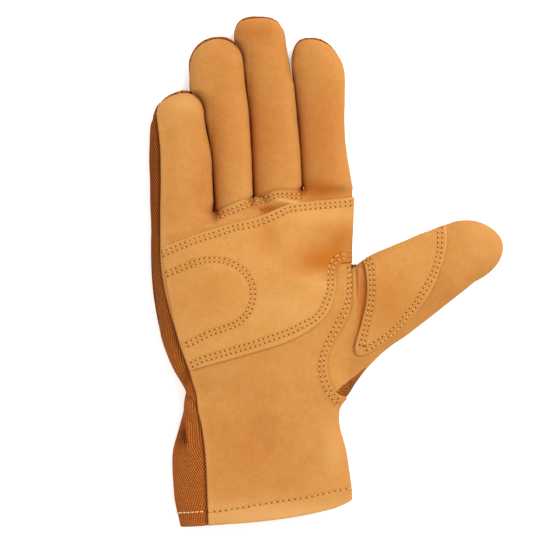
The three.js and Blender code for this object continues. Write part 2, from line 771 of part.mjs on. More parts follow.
function thumbPatchSheet() {
  const edge = (column) => curve(THUMB_PATCH, 'share', column);
  const [leftX, leftY, rightX, rightY] = ['leftX', 'leftY', 'rightX', 'rightY'].map(edge);
  return patchSheet(THUMB_PATCH_ROWS, THUMB_PATCH_CELLS, (across, up) => ({
    x: mix(leftX(up), rightX(up), across),
    y: mix(leftY(up), rightY(up), across),
  }));
}

const leather = new THREE.MeshStandardMaterial({ color: 0xd9984c, roughness: 0.8, metalness: 0 });
const patchLeather = new THREE.MeshStandardMaterial({ color: 0xe4a862, roughness: 0.8, metalness: 0 });
const canvas = new THREE.MeshStandardMaterial({ color: 0x9a5024, roughness: 0.95, metalness: 0 });

const glove = new THREE.Group();
glove.name = 'leather_work_glove';

function add(name, geometry, material) {
  const mesh = new THREE.Mesh(geometry, material);
  mesh.name = name;
  glove.add(mesh);
}

const patchTop = PATCH_CLEARANCE + PATCH_WALL;
add('palm_leather', handSheet('front', [LITTLE, INDEX]).solid(0, -LEATHER_WALL), leather);
add('ring_finger_front', fingerFrontSheet(RING).solid(0, -LEATHER_WALL), leather);
add('middle_finger_front', fingerFrontSheet(MIDDLE).solid(0, -LEATHER_WALL), leather);
add('thumb_front', thumbSheet('front').solid(0, -LEATHER_WALL), leather);
add('palm_patch', palmPatchSheet().solid(patchTop, PATCH_CLEARANCE), patchLeather);
add('thumb_patch', thumbPatchSheet().solid(patchTop, PATCH_CLEARANCE), patchLeather);
add('back_canvas', handSheet('back', FINGERS).solid(0, -CANVAS_WALL), canvas);
add('thumb_back', thumbSheet('back').solid(0, -CANVAS_WALL), canvas);

export default glove;
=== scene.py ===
from functools import partial

import bpy
import numpy as np
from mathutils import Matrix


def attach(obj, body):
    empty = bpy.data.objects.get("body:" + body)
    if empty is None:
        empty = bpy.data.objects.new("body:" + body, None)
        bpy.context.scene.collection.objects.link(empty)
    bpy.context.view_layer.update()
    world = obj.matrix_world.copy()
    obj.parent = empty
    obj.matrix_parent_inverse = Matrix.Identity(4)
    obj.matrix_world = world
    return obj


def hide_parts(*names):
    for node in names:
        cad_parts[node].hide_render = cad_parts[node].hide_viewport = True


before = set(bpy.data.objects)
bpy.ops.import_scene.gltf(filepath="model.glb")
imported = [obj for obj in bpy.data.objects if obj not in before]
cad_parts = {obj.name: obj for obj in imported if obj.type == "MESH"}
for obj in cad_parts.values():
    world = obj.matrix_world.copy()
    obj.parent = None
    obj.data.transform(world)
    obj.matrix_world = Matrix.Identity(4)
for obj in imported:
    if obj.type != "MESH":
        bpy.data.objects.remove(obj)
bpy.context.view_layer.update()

# The palm, the front of the cuff and the fronts of the little and index finger are one cut of tan
# nubuck leather. Its long edges are sewn to the canvas back, and towards the thumb it is folded over
# the thumb's leather and sewn down with a double row. Tables are in millimetres.
SEAM_HEIGHT = 8.0
SEAM_GAP = 0.36
CANVAS_TUCK = 2.2
LEATHER_WALL = 1.3
HEM_TURN = 0.9  # thickness of the hem's turned layer
HEM_EDGE = (6.5, 7.6)  # distances from the hem line between which that layer ends
LINE_SPACING = 0.25
TABLE_SPACING = 0.5
CROTCH_REACH = 3  # round a finger crotch the sheets are thin and smooth
LEATHER_WAVES = {"wave": 17, "seed": 3}
VALLEY_LENGTH = 7.0  # over which the hand runs out into the fingers
METRES = 0.001
HAND = {
    "y": [-134, -115.7, -95, -81.4, -72, -68.4, -65.6, -62, -51, -38, -20, 0, 6, 18, 34, 46],
    "left": [-75.3, -78.9, -79.6, -76.2, -74, -73.8, -73.4, -72.9, -79.1, -84.4, -87.7, -90, -90.3, -90.7,
             -90.9, -90.9],
    "seam": [-60.5, -61.2, -62.2, -63.9, -65.9, -66.5, -66.9, -67.7, -70.5, -75.2, -79.5, -83.4, -84.4, -85.4,
             -85.6, -85.6],
    "right": [14.5, 13.6, 11.3, 7.7, 7.4, 9.4, 11.4, 12.6, 12.4, 12.9, 13.4, 13.2, 13.1, 13.7, 14, 14],
    "rise": [10.5, 11, 12, 13, 13.8, 14, 14.3, 14.5, 15, 15.5, 16, 16, 15.5, 14, 11.5, 10.5],
}
HEM_LINE = {"x": [-80, -60, -24, 3, 15], "y": [-133.1, -131.4, -128, -122.9, -118.5]}
CROTCH_LINE = {
    "x": [-91, -58.3, -52.5, -44.5, -37.8, -31.5, -27.8, -18, -12.9, 14.4],
    "y": [24, 30.6, 33.3, 36.4, 38.6, 40.5, 41.7, 42.4, 43.4, 46],
}
LITTLE = {
    "columns": (0, 6), "rise": 9.6, "tip": (-73.3, 94.1), "cap_power": 2.0, "rim": 1.1,
    "tucked_to": -1000, "beside_to": 97,
    "y": [28, 59.5, 75.7, 79.8],
    "left": [-90.9, -91.8, -91.2, -90.2],
    "right": [-58.8, -60.1, -62.9, -63.7],
}
RING = {
    "columns": (6, 11), "rise": 9.8, "tip": (-55.6, 122), "cap_power": 2.2, "rim": 1.2,
    "tucked_to": 93, "beside_to": 124,
    "y": [30.4, 45, 59.5, 75.7, 84, 89.2, 93, 97, 106.9],
    "left": [-56.6, -58.2, -59.6, -62.3, -65.2, -68.4, -70.4, -71.1, -71.2],
    "right": [-38.4, -38.9, -39.4, -40.2, -40.8, -41.3, -41.8, -42.3, -43.4],
}
MIDDLE = {
    "columns": (11, 16), "rise": 10, "tip": (-35.4, 132.4), "cap_power": 2.6, "rim": 0.9,
    "tucked_to": 118, "beside_to": 106,
    "y": [38.5, 59.5, 78.8, 103.2, 110, 114, 117.5, 121],
    "left": [-37.4, -38.9, -39.9, -42.5, -43.8, -46, -47.4, -47.8],
    "right": [-13, -13.9, -15.4, -17.9, -19.1, -19.8, -20.3, -20.7],
}
INDEX = {
    "columns": (16, 22), "rise": 9.8, "tip": (-8.2, 121.5), "cap_power": 2.3, "rim": 0.8,
    "tucked_to": 110, "beside_to": -1000,
    "y": [43.9, 53.8, 67.3, 87.1, 102.2],
    "left": [-12.3, -13.1, -14, -15.8, -17.5],
    "right": [14.2, 12.4, 10.4, 10, 10.2],
}
FINGERS = [LITTLE, RING, MIDDLE, INDEX]
LITTLE_SEAM = {"y": [28, 60, 75.7, 82], "x": [-85.6, -85.5, -86.9, -87.6]}
THUMB_SEAM = {
    "y": [-68.4, -66, -58, -49.1, -39.8, -31.5, -24.2, -14.8, -7, 2.6],
    "x": [7.5, 2.6, -2.3, -3.4, -1.1, 3.4, 8.1, 11.7, 12.7, 12.9],
}
# Free edge of the palm where it lies folded over the thumb's leather, and the tongue at its lower end
PALM_EDGE = {
    "y": [-68.4, -66, -63.9, -61.8, -59.6, -56.3, -50, -46.3, -43, -40.4, -36, -30.9, -25.5, -20, -14.5, 2.6],
    "x": [9.3, 7.7, 6.2, 4.7, 3.4, 1.6, 0.6, 0.6, 1.1, 2, 4.2, 7.2, 10.1, 12.2, 12.9, 13],
}
PALM_TONGUE = {
    "y": [-70, -68.4, -66.8, -65.6, -65.1, -64.6, -63.9, -63, -61.8, -60],
    "out": [0, 0, 2.2, 3.7, 3.6, 2.4, 0.9, 0.3, 0.1, 0],
}
THUMB_ORIGIN = (10.1, -24.2)
THUMB_AXIS = np.array([0.9107, 0.413]) / np.hypot(0.9107, 0.413)
THUMB_OUTLINE = {
    "along": [-21, -15.6, -9.3, 0, 14, 26, 45, 64, 69.5],
    "upper": [20, 20.4, 20.8, 21.3, 22.2, 24.2, 23.9, 23.1, 22.5],
    "lower": [-40.4, -37.8, -33.4, -28.4, -23.6, -21.4, -16.8, -12, -10.5],
}
THUMB_RISE = {"along": [-32, -15, 0, 20, 45, 69.5], "rise": [0, 5, 10, 12, 12, 10.5]}
THUMB_CAP = {"start": 69.5, "along": 90.4, "side": 4.2, "power": 1.95}
# Folds and hollows: a ridge or groove from one point to the other, its half width and its rise
FOLDS = [
    {"ends": (-5, 9, 12, 13), "wide": 8, "rise": -2.4},  # hollow beside the thumb crotch
    {"ends": (-13, -4.5, 1, 0), "wide": 3.4, "rise": 1.2},  # lip below that hollow
    {"ends": (-8, 38.5, 6, 40), "wide": 3.8, "rise": -1.5},  # hollow below the index finger
    {"ends": (-34, 22, -26, 8), "wide": 5, "rise": -0.8},  # crease in the middle of the palm
    {"ends": (-28, 37.9, -16, 35.2), "wide": 1.4, "rise": 2.3, "on": "palm_leather"},  # ridge of the next
    {"ends": (-36.9, 39, -32.8, 27), "wide": 7.5, "rise": -3.8, "on": "palm_leather", "step": 0.9},  # fold
    {"ends": (-80, 16, -60, 23), "wide": 3, "rise": -0.9, "on": "palm_leather"},  # below the ring finger
    {"ends": (-58, -67, -12, -64), "wide": 6, "rise": -0.9},  # crease across the wrist
    {"ends": (-66, -62, -50, -58), "wide": 4, "rise": -0.8},  # pull at the wrist's left edge
    {"ends": (-38, -78, -22, -108), "wide": 8, "rise": -1.1},  # wide fold down the cuff
    {"ends": (15.2, 1, 15.8, -12), "wide": 1.0, "rise": -0.8},  # folds of the thumb crotch
    {"ends": (18.0, 2, 18.6, -7), "wide": 0.9, "rise": -0.5},
    {"ends": (16.8, 0, 17.2, -14), "wide": 1.2, "rise": 0.4},
    {"ends": (20.4, 2, 14.3, -41), "wide": 1.2, "rise": -1.1, "on": "thumb_front"},  # at the patch's edge
]


def run_through(table, along, name, place):
    """A smooth curve through a column of a table: a cubic between two rows, with the slope at each row
    that of the chord between its neighbours."""
    places = np.array(table[along], float)
    values = np.array(table[name], float)
    slopes = np.empty_like(values)
    slopes[1:-1] = (values[2:] - values[:-2]) / (places[2:] - places[:-2])
    slopes[0] = (values[1] - values[0]) / (places[1] - places[0])
    slopes[-1] = (values[-1] - values[-2]) / (places[-1] - places[-2])
    place = np.clip(place, places[0], places[-1])
    i = np.clip(np.searchsorted(places, place, side="right") - 1, 0, len(places) - 2)
    span = places[i + 1] - places[i]
    t = (place - places[i]) / span
    blend = (3 - 2 * t) * t * t
    bend = t * (1 - t) ** 2 * span * slopes[i] + t * t * (t - 1) * span * slopes[i + 1]
    return values[i] + (values[i + 1] - values[i]) * blend + bend


def mix(a, b, share):
    """a at share 0 and b at share 1, in a straight line between."""
    return a + (b - a) * share


def smooth(value, low, high):
    """0 below low, 1 above high, and t * t * (3 - 2 t) between."""
    t = np.clip((value - low) / (high - low), 0, 1)
    return t * t * (3 - 2 * t)


def arch(q, power):
    """Height of a superellipse of half width 1: the power-th root of 1 - |q| ** power."""
    return np.maximum(0, 1 - np.abs(q) ** power) ** (1 / power)


def rounded_end(center, half, rise, place, start, end, tip, power):
    """Past its start a section shrinks as an arch and its centre runs over to the tip."""
    share = np.clip((place - start) / (end - start), 0, 1)
    full = arch(share, 2.4)
    return mix(center, tip, share**1.7), half * arch(share, power), full, rise * full


def finger_section(finger, y):
    """Centre, half width, fullness and rise of a finger's section at y."""
    left = run_through(finger, "y", "left", y)
    right = run_through(finger, "y", "right", y)
    tip_x, tip_y = finger["tip"]
    start = finger["y"][-1]
    return rounded_end(
        (left + right) / 2, (right - left) / 2, finger["rise"], y, start, tip_y, tip_x, finger["cap_power"]
    )


def past_outline(finger, x, y, start):
    """How far a place lies past a start to the right of a finger's outline, and 0 before it."""
    center, half, _, _ = finger_section(finger, y)
    return np.maximum(0, x - center - half - start)


def thumb_place(x, y):
    """Distances along and across the thumb's axis."""
    dx, dy = x - THUMB_ORIGIN[0], y - THUMB_ORIGIN[1]
    return dx * THUMB_AXIS[0] + dy * THUMB_AXIS[1], dy * THUMB_AXIS[0] - dx * THUMB_AXIS[1]


def thumb_point(along, side):
    """The place in the hand's plane at those distances."""
    x = THUMB_ORIGIN[0] + THUMB_AXIS[0] * along - THUMB_AXIS[1] * side
    return x, THUMB_ORIGIN[1] + THUMB_AXIS[1] * along + THUMB_AXIS[0] * side


def thumb_section(along):
    """Centre, half width, fullness and rise of the thumb's section."""
    upper = run_through(THUMB_OUTLINE, "along", "upper", along)
    lower = run_through(THUMB_OUTLINE, "along", "lower", along)
    rise = run_through(THUMB_RISE, "along", "rise", along)
    return rounded_end(
        (upper + lower) / 2, (upper - lower) / 2, rise, along,
        THUMB_CAP["start"], THUMB_CAP["along"], THUMB_CAP["side"], THUMB_CAP["power"],
    )


def hand_and_thumb(x, y):
    """Fullness and height over the seam of hand and thumb together: the fourth root of the sum of
    their fourth powers."""
    left, right = (run_through(HAND, "y", edge, y) for edge in ("left", "right"))
    hand = arch((x - (left + right) / 2) / ((right - left) / 2), 2.6)
    along, side = thumb_place(x, y)
    center, half, _, rise = thumb_section(along)
    thumb = arch((side - center) / np.maximum(half, 0.01), 2.3)
    top = (hand * run_through(HAND, "y", "rise", y)) ** 4 + (thumb * rise) ** 4
    full = hand**4 + (thumb * np.minimum(1, rise / 10)) ** 4
    return full**0.25, top**0.25


def finger_top(finger, x, y):
    """A finger's section is an arch whose crest leans to the thumb's side. Its left flank is tucked under
    the finger beside it: there it rises from that finger's outline by one minus an exponential, and the
    lower of the two heights counts, rounded where they meet."""
    center, half, full, rise = finger_section(finger, y)
    q = np.clip((x - center) / np.maximum(half, 0.01), -1, 1)
    top = arch(q - 0.2 * (1 - q * q), 2.2) * rise
    if finger is not LITTLE:
        before = FINGERS[FINGERS.index(finger) - 1]
        flank = 11.5 * (1 - np.exp(-past_outline(before, x, y, 0.3) / 3.4))
        tucked = y < min(before["tip"][1], before["beside_to"])
        flank = np.where(tucked, flank, flank + 20 * smooth(y, 103, 112))
        lower = -np.log(np.exp(-1.6 * top) + np.exp(-1.6 * flank)) / 1.6
        top = np.where(y < before["tip"][1] - 0.3, np.maximum(np.minimum(lower, top), 0), top)
    return arch(q, 2.2) * full, top


def glove_top(x, y):
    """The hand with its thumb, running out into the fingers just below the crotch line."""
    full, top = hand_and_thumb(x, y)
    crotch = run_through(CROTCH_LINE, "x", "y", x)
    valley = smooth(y, crotch - VALLEY_LENGTH, crotch)
    valley = np.where(x > run_through(INDEX, "y", "right", y) + 1, 0, valley)
    border = -1e3
    for finger, after in zip(FINGERS, FINGERS[1:] + [None]):
        next_border = (finger["right"][0] + after["left"][0]) / 2 if after else 1e3
        within = (x > border) & (x <= next_border)
        finger_full, finger_rise = finger_top(finger, x, y)
        full = np.where(within, mix(full, finger_full, valley), full)
        top = np.where(within, mix(top, finger_rise, valley), top)
        border = next_border
    return full, top


def lift(x, y):
    """How far fingertips and the thumb's tip are raised from the ground."""
    finger = 4 * np.clip((y - 50) / 80, 0, 1) ** 2
    thumb = 7 * np.clip((thumb_place(x, y)[0] - 15) / 76, 0, 1) ** 2
    return np.where(x > THUMB_ORIGIN[0] + 5, thumb, finger)


def front_height(top, x, y):
    """Height of the palm side."""
    return SEAM_HEIGHT + SEAM_GAP / 2 + lift(x, y) + top


def back_height(full, x, y):
    """Height of the back, pressed flat on the ground where the glove is full."""
    return lift(x, y) + (SEAM_HEIGHT - SEAM_GAP / 2) * (1 - np.minimum(1, 1.6 * full))


def side_height(side, full, top, x, y, wrapped):
    """Height of the palm side, or of the back, which lies a seam's gap below it where it wraps over."""
    front = front_height(top, x, y)
    return front if side == "front" else np.where(wrapped, front - SEAM_GAP, back_height(full, x, y))


def seam_height(side, x, y):
    """Height of one side's edge at the seam round an outline."""
    return SEAM_HEIGHT + (SEAM_GAP / 2 if side == "front" else -SEAM_GAP / 2) + lift(x, y)


def section_angles(side, y):
    """Angles on the hand's section, 0 at the right edge and pi at the left one over the top, from which
    its front or back starts and where it ends."""
    left, right, seam = (run_through(HAND, "y", edge, y) for edge in ("left", "right", "seam"))
    center, half = (left + right) / 2, (right - left) / 2
    beside_thumb = (y > THUMB_SEAM["y"][0]) & (y < THUMB_SEAM["y"][-1])
    seam_angle = np.arccos(np.clip((seam - center) / half, -1, 1))
    if side == "front":
        inner = np.minimum(run_through(PALM_EDGE, "y", "x", y), right - 0.15)
        start, sign = seam_angle, 1
    else:
        inner = thumb_back_seam(y) - SEAM_GAP
        start, sign = seam_angle - 2 * np.pi - CANVAS_TUCK / half / np.sin(seam_angle), -1
    edge = np.where(beside_thumb, inner, right)
    return center, half, start, sign * np.arccos(np.clip((edge - center) / half, -1, 1))


def finger_angles(finger, side, y):
    """The same for a finger; only the little finger's seam lies on top."""
    center, half, _, _ = finger_section(finger, y)
    start = np.full_like(center, np.pi)
    if finger is LITTLE:
        seam = np.maximum(run_through(LITTLE_SEAM, "y", "x", y), center - 0.97 * half)
        start = np.arccos(np.clip((seam - center) / np.maximum(half, 1e-3), -1, 1))
    if side == "back":
        turn = CANVAS_TUCK / np.maximum(half, 1) / np.maximum(np.sin(start), 0.3) if finger is LITTLE else 0
        start = start - 2 * np.pi - turn * smooth(half, 3, 9)
    return center, half, start, np.zeros_like(center)


def column_angle(side, start, end, column, first, last):
    """Columns are spread evenly over the angle; on the back the four before the first one hold the
    canvas that wraps over the little finger's edge."""
    if side == "front":
        return mix(start, end, (column - first) / (last - first))
    wrapped = mix(start, -np.pi, (column - first + 4) / 4)
    return np.where(column < first, wrapped, mix(-np.pi, end, (column - first) / (last - first)))


def hand_grid(side, columns, shares):
    """Points of the hand from the hem, share 0, to the crotch line, share 1. The columns slide over
    from the hand's section to those of the fingers."""
    column, share = np.meshgrid(columns, shares)
    to_fingers = smooth(share, 0.6, 1)
    x = mix(-80.0, 14.0, column / 22)
    for _ in range(4):
        y = mix(run_through(HEM_LINE, "x", "y", x), run_through(CROTCH_LINE, "x", "y", x), share)
        center, half, start, end = section_angles(side, y)
        angle = column_angle(side, start, 0 * end, column, 0, 22)
        angle = angle + end * np.clip(column / 22, 0, 1) ** 3
        on_finger, count = np.zeros_like(x), np.zeros_like(x)
        for finger in FINGERS:
            first, last = finger["columns"]
            reached = ((column >= first) | (finger is LITTLE)) & (column <= last)
            f_center, f_half, f_start, f_end = finger_angles(finger, side, y)
            f_angle = column_angle(side, f_start, f_end, column, first, last)
            on_finger += np.where(reached, f_center + f_half * np.cos(f_angle), 0)
            count += reached
        x = mix(center + half * np.cos(angle), on_finger / count, to_fingers)
    if side == "front":
        x = x + smooth(column, 18.5, 22) * run_through(PALM_TONGUE, "y", "out", y)
    full, top = glove_top(x, y)
    return np.stack([x, y, side_height(side, full, top, x, y, np.sin(angle) > 1e-6)], -1)


def finger_grid(side, finger, columns, straight_rows, cap_rows, base_gap=0.0):
    """Points of a finger above its base row: straight up to where the tip rounds, then by the sine of
    an angle to the tip. The front bulges over the flank of the finger beside it by the sine of twice
    the section's angle, and stays a rim's width inside the canvas at its free edges."""
    straight = np.concatenate([np.arange(1, straight_rows + 1) / straight_rows, np.ones(cap_rows - 1)])
    turn = np.concatenate([np.zeros(straight_rows), np.arange(1, cap_rows) / cap_rows]) * np.pi / 2
    column, up = np.meshgrid(columns, straight)
    turn = np.broadcast_to(turn[:, None], up.shape)
    base_x = (finger["left"][0] + finger["right"][0]) / 2
    base_y = run_through(CROTCH_LINE, "x", "y", base_x) + base_gap
    cap_start, tip_y = finger["y"][-1], finger["tip"][1]
    spine = mix(base_y, cap_start, up) + (tip_y - cap_start) * np.sin(turn)
    first, last = finger["columns"]
    y = spine
    for _ in range(4):
        center, half, start, end = finger_angles(finger, side, y)
        angle = column_angle(side, start, end, column, first, last)
        x = center + half * np.cos(angle)
        y = spine + (run_through(CROTCH_LINE, "x", "y", x) + base_gap - base_y) * (1 - up) ** 2
    full, top = finger_top(finger, x, y)
    z = side_height(side, full, top, x, y, np.sin(angle) > 1e-6)
    if side == "back":
        return np.stack([x, y, z], -1)
    _, _, roundness, _ = finger_section(finger, y)
    clear = smooth(y, finger["beside_to"] - 10, finger["beside_to"])
    above_crotch = smooth(y - run_through(CROTCH_LINE, "x", "y", x), 0, 7) if finger is LITTLE else 1
    bulge = np.sin(2 * np.minimum(angle, np.pi / 2)) * roundness**2 * (1 - clear) * above_crotch
    left_free = smooth(y, finger["tucked_to"] - 3, finger["tucked_to"] + 4) if finger is not LITTLE else 0
    inset = 0.7 * finger["rim"] * np.maximum(np.cos(angle) * np.sin(turn), -np.cos(angle) * left_free)
    inset = np.where(np.cos(angle) < 0, -inset, inset)
    return np.stack([x + 2.3 * bulge - inset, y - finger["rim"] * np.sin(turn), z], -1)


def fingertip(finger, side):
    """The point in which a finger's rows end, on its own half of the seam; the leather ends short of
    the canvas."""
    x, y = finger["tip"]
    return np.array([x, y - (finger["rim"] if side == "front" else 0), seam_height(side, x, y)])


def numbered(grid, first=0):
    """Numbers of a grid's points, row by row."""
    return first + np.arange(grid.shape[0] * grid.shape[1]).reshape(grid.shape[:2])


def woven(rows):
    """Quads between neighbouring rows of point numbers."""
    corners = [rows[:-1, :-1], rows[:-1, 1:], rows[1:, 1:], rows[1:, :-1]]
    return np.stack(corners, -1).reshape(-1, 4)


def hand_sheet(side, columns, shares, fingers, straight_rows, cap_rows):
    """The hand's grid with those fingers that are cut in one with it, as points and quads."""
    hand = hand_grid(side, columns, shares)
    points = [hand.reshape(-1, 3)]
    numbers = numbered(hand)
    count = numbers.size
    quads = [woven(numbers)]
    for finger in fingers:
        first, last = finger["columns"]
        own = (columns >= first - (4.01 if finger is LITTLE else 0.01)) & (columns <= last + 0.01)
        rows = finger_grid(side, finger, columns[own], straight_rows, cap_rows)
        grid = numbered(rows, count)
        tip = np.full((1, own.sum()), count + grid.size)
        quads.append(woven(np.vstack([numbers[-1:, own], grid, tip])))
        points += [rows.reshape(-1, 3), fingertip(finger, side)[None]]
        count += grid.size + 1
    return np.vstack(points), np.vstack(quads)


def sheet_normals(points, quads):
    """Each point's normal: the sum of the crossed diagonals of the quads around it."""
    a, b, c, d = (points[quads[:, i]] for i in range(4))
    facing = np.cross(c - a, d - b)
    summed = [
        np.bincount(quads.ravel(), np.repeat(facing[:, axis], 4), len(points)) for axis in range(3)
    ]
    normals = np.stack(summed, -1)
    return normals / np.maximum(np.linalg.norm(normals, axis=1), 1e-9)[:, None]


def open_edges(quads, count):
    """Directed edges that only one quad has."""
    edges = np.vstack([quads[:, [i, (i + 1) % 4]] for i in range(4)])
    edges = edges[edges[:, 0] != edges[:, 1]]
    there = edges[:, 0] * count + edges[:, 1]
    back = edges[:, 1] * count + edges[:, 0]
    return edges[~np.isin(there, back)]


def distance_to(points, line):
    """Distance of each point to the nearest of a line's points, and that point's number."""
    least = np.empty(len(points))
    nearest = np.empty(len(points), int)
    step = max(1, int(6e6 / len(line)))
    for i in range(0, len(points), step):
        some = points[i : i + step]
        squared = (some**2).sum(1)[:, None] + (line**2).sum(1)[None] - 2 * some @ line.T
        nearest[i : i + step] = squared.argmin(1)
        least[i : i + step] = np.sqrt(np.maximum(squared.min(1), 0))
    return least, nearest


def run_length(points):
    """Distance run along a line of points, 0 at its first."""
    return np.concatenate([[0], np.cumsum(np.linalg.norm(np.diff(points, axis=0), axis=1))])


def along_run(places, run, values):
    """Each column of values at places of the run, in straight lines between."""
    return np.stack([np.interp(places, run, column) for column in values.T], -1)


def drawn_line(table, spacing=LINE_SPACING):
    """Evenly spaced points on a smooth curve through the corners of a line in the hand's plane."""
    corners = np.array(table, float)
    chord = run_length(corners)
    curve = {"s": chord, "x": corners[:, 0], "y": corners[:, 1]}
    fine = np.linspace(0, chord[-1], int(chord[-1] / 0.05) + 2)
    line = np.stack([run_through(curve, "s", axis, fine) for axis in "xy"], -1)
    run = run_length(line)
    return along_run(np.arange(0, run[-1], spacing), run, line)


def off_table(points, table, x="x"):
    """Distance in the hand's plane of each point to the line through a table's columns."""
    return distance_to(points[:, :2], drawn_line(np.stack([table[x], table["y"]], -1), TABLE_SPACING))[0]


def off_seam(points):
    """Distance to the seam of leather and canvas along the hand and the little finger."""
    return np.minimum(off_table(points, HAND, "seam"), off_table(points, LITTLE_SEAM))


def beside(line, distance):
    """The line moved sideways to its left by a distance."""
    along = np.gradient(line, axis=0)
    along /= np.linalg.norm(along, axis=1)[:, None]
    return line + distance * np.stack([-along[:, 1], along[:, 0]], -1)


def folds(points, sheet, table):
    """Each fold is a bell over the distance to its line, drawn out past the line's two ends; a step
    falls steeply to the line's right and comes back by an exponential."""
    x, y, _ = points.T
    height = np.zeros_like(x)
    for fold in table:
        x0, y0, x1, y1 = fold["ends"]
        length = np.hypot(x1 - x0, y1 - y0)
        ux, uy = (x1 - x0) / length, (y1 - y0) / length
        along = (x - x0) * ux + (y - y0) * uy
        across = (y - y0) * ux - (x - x0) * uy
        past = (along - np.clip(along, 0, length)) / (fold["wide"] * (0.35 if "step" in fold else 1.4))
        shape = np.exp(-((across / fold["wide"]) ** 2))
        if "step" in fold:
            shape = smooth(across, 0, fold["step"]) * np.exp(-np.maximum(across, 0) / fold["wide"])
        if fold.get("on", sheet) == sheet:
            height += fold["rise"] * shape * np.exp(-(past**2))
    return height


# Painted light. A share over 0 paints shade into hollows, folds, finger gaps and the canvas's pockets, and a
# share under 0 paints highlight on ridges, lips and tips that face the light; a wide band along the hem is
# made paler.
# The columns are x, y, half width, half length and share
PAINTED_LIGHT_PLACES = {
    "palm_patch": [
        (-3, 5.5, 14, 7.5, 0.85),
        (8, 13, 7, 11, 0.5),
        (1, 19, 13, 8, 0.2),
        (0, 29.5, 18, 4, -0.4),
        (-6, -5.5, 8, 4, -0.5),
        (-62, -12, 14, 14, 0.2),
        (-29, 18, 7, 9, 0.35),
        (-20, -20, 14, 9, -0.2),
    ],
    "palm_leather": [
        (-37, -88, 16, 24, 0.28),
        (5, -92, 7, 16, -0.35),
        (-20, -126, 70, 8, -0.65),
        (-63, 47, 4, 18, 0.3),
        (-74, 88, 12, 7, -0.35),
        (-1, 72, 11, 32, 0.4),
        (-4, 42, 12, 5, 0.6),
        (-29.5, 32.8, 6.5, 2.4, 0.9),
        (-23.5, 36.4, 5, 1.3, -0.8),
        (-16.5, 35.4, 4, 1.1, -0.8),
        (-56, 30, 3, 2.5, 0.8),
    ],
    "ring_finger_front": [(-54, 78, 9, 45, 0.25)],
    "middle_finger_front": [
        (-37, 124, 12, 7, 0.4),
        (-29, 80, 8, 50, 0.25),
    ],
    "thumb_front": [
        (83, 15, 13, 11, -0.2),
        (54, -9, 14, 10, 0.3),
        (18.5, -12, 2.5, 18, 0.5),
    ],
    "thumb_patch": [(31, -15, 15, 17, 0.45)],
    "back_canvas": [
        (-75, -86, 2.4, 6, 0.8),
        (-72.5, -57, 1.6, 3.5, 0.6),
        (-90, 40, 12, 80, 0.7),
    ],
    "thumb_back": [(12, -60, 9, 8, 0.45)],
}
# A sheet's finger, the finger before it and the share of painted shade on the flank between them, where the
# finger before lies over it
FLANK_SHADE = {
    "ring_finger_front": (RING, LITTLE, 0.8),
    "middle_finger_front": (MIDDLE, RING, 1.15),
    "palm_leather": (INDEX, MIDDLE, 0.7),
}


def painted_light_share(points, sheet):
    """A sum of soft bells over the sheet's places of painted light. On a finger's flank beside the next
    finger it
    gains painted shade: two exponentials of the distance from that finger's outline, a narrow and a wide one."""
    x, y, _ = points.T
    painted_light = np.zeros_like(x)
    for at_x, at_y, wide, long, share in PAINTED_LIGHT_PLACES[sheet]:
        painted_light += share * np.exp(-(((x - at_x) / wide) ** 2) - ((y - at_y) / long) ** 2)
    if sheet in FLANK_SHADE:
        finger, before, shade = FLANK_SHADE[sheet]
        past = past_outline(before, x, y, 0.8)
        own = x > (finger["left"][0] + before["right"][0]) / 2 - 1.5
        height = (1 - smooth(y, before["tip"][1] - 9, before["tip"][1] + 3)) * own
        height *= smooth(y - run_through(CROTCH_LINE, "x", "y", x), -4, 1)
        painted_light += shade * height * (0.8 * np.exp(-past / 2.0) + 0.2 * np.exp(-past / 6))
    return np.clip(painted_light, -1, 1)


def softness(points, amount, wave, seed):
    """Slow unevenness of soft leather or cloth: a sum of twelve cosine waves in seeded directions."""
    x, y, _ = points.T
    random = np.random.default_rng(seed)
    height = np.zeros_like(x)
    for _ in range(12):
        turn, phase = random.uniform(0, 2 * np.pi, 2)
        length = wave * random.uniform(0.6, 1.6)
        height += np.cos(2 * np.pi * (x * np.cos(turn) + y * np.sin(turn)) / length + phase)
    return amount * height / 12**0.5


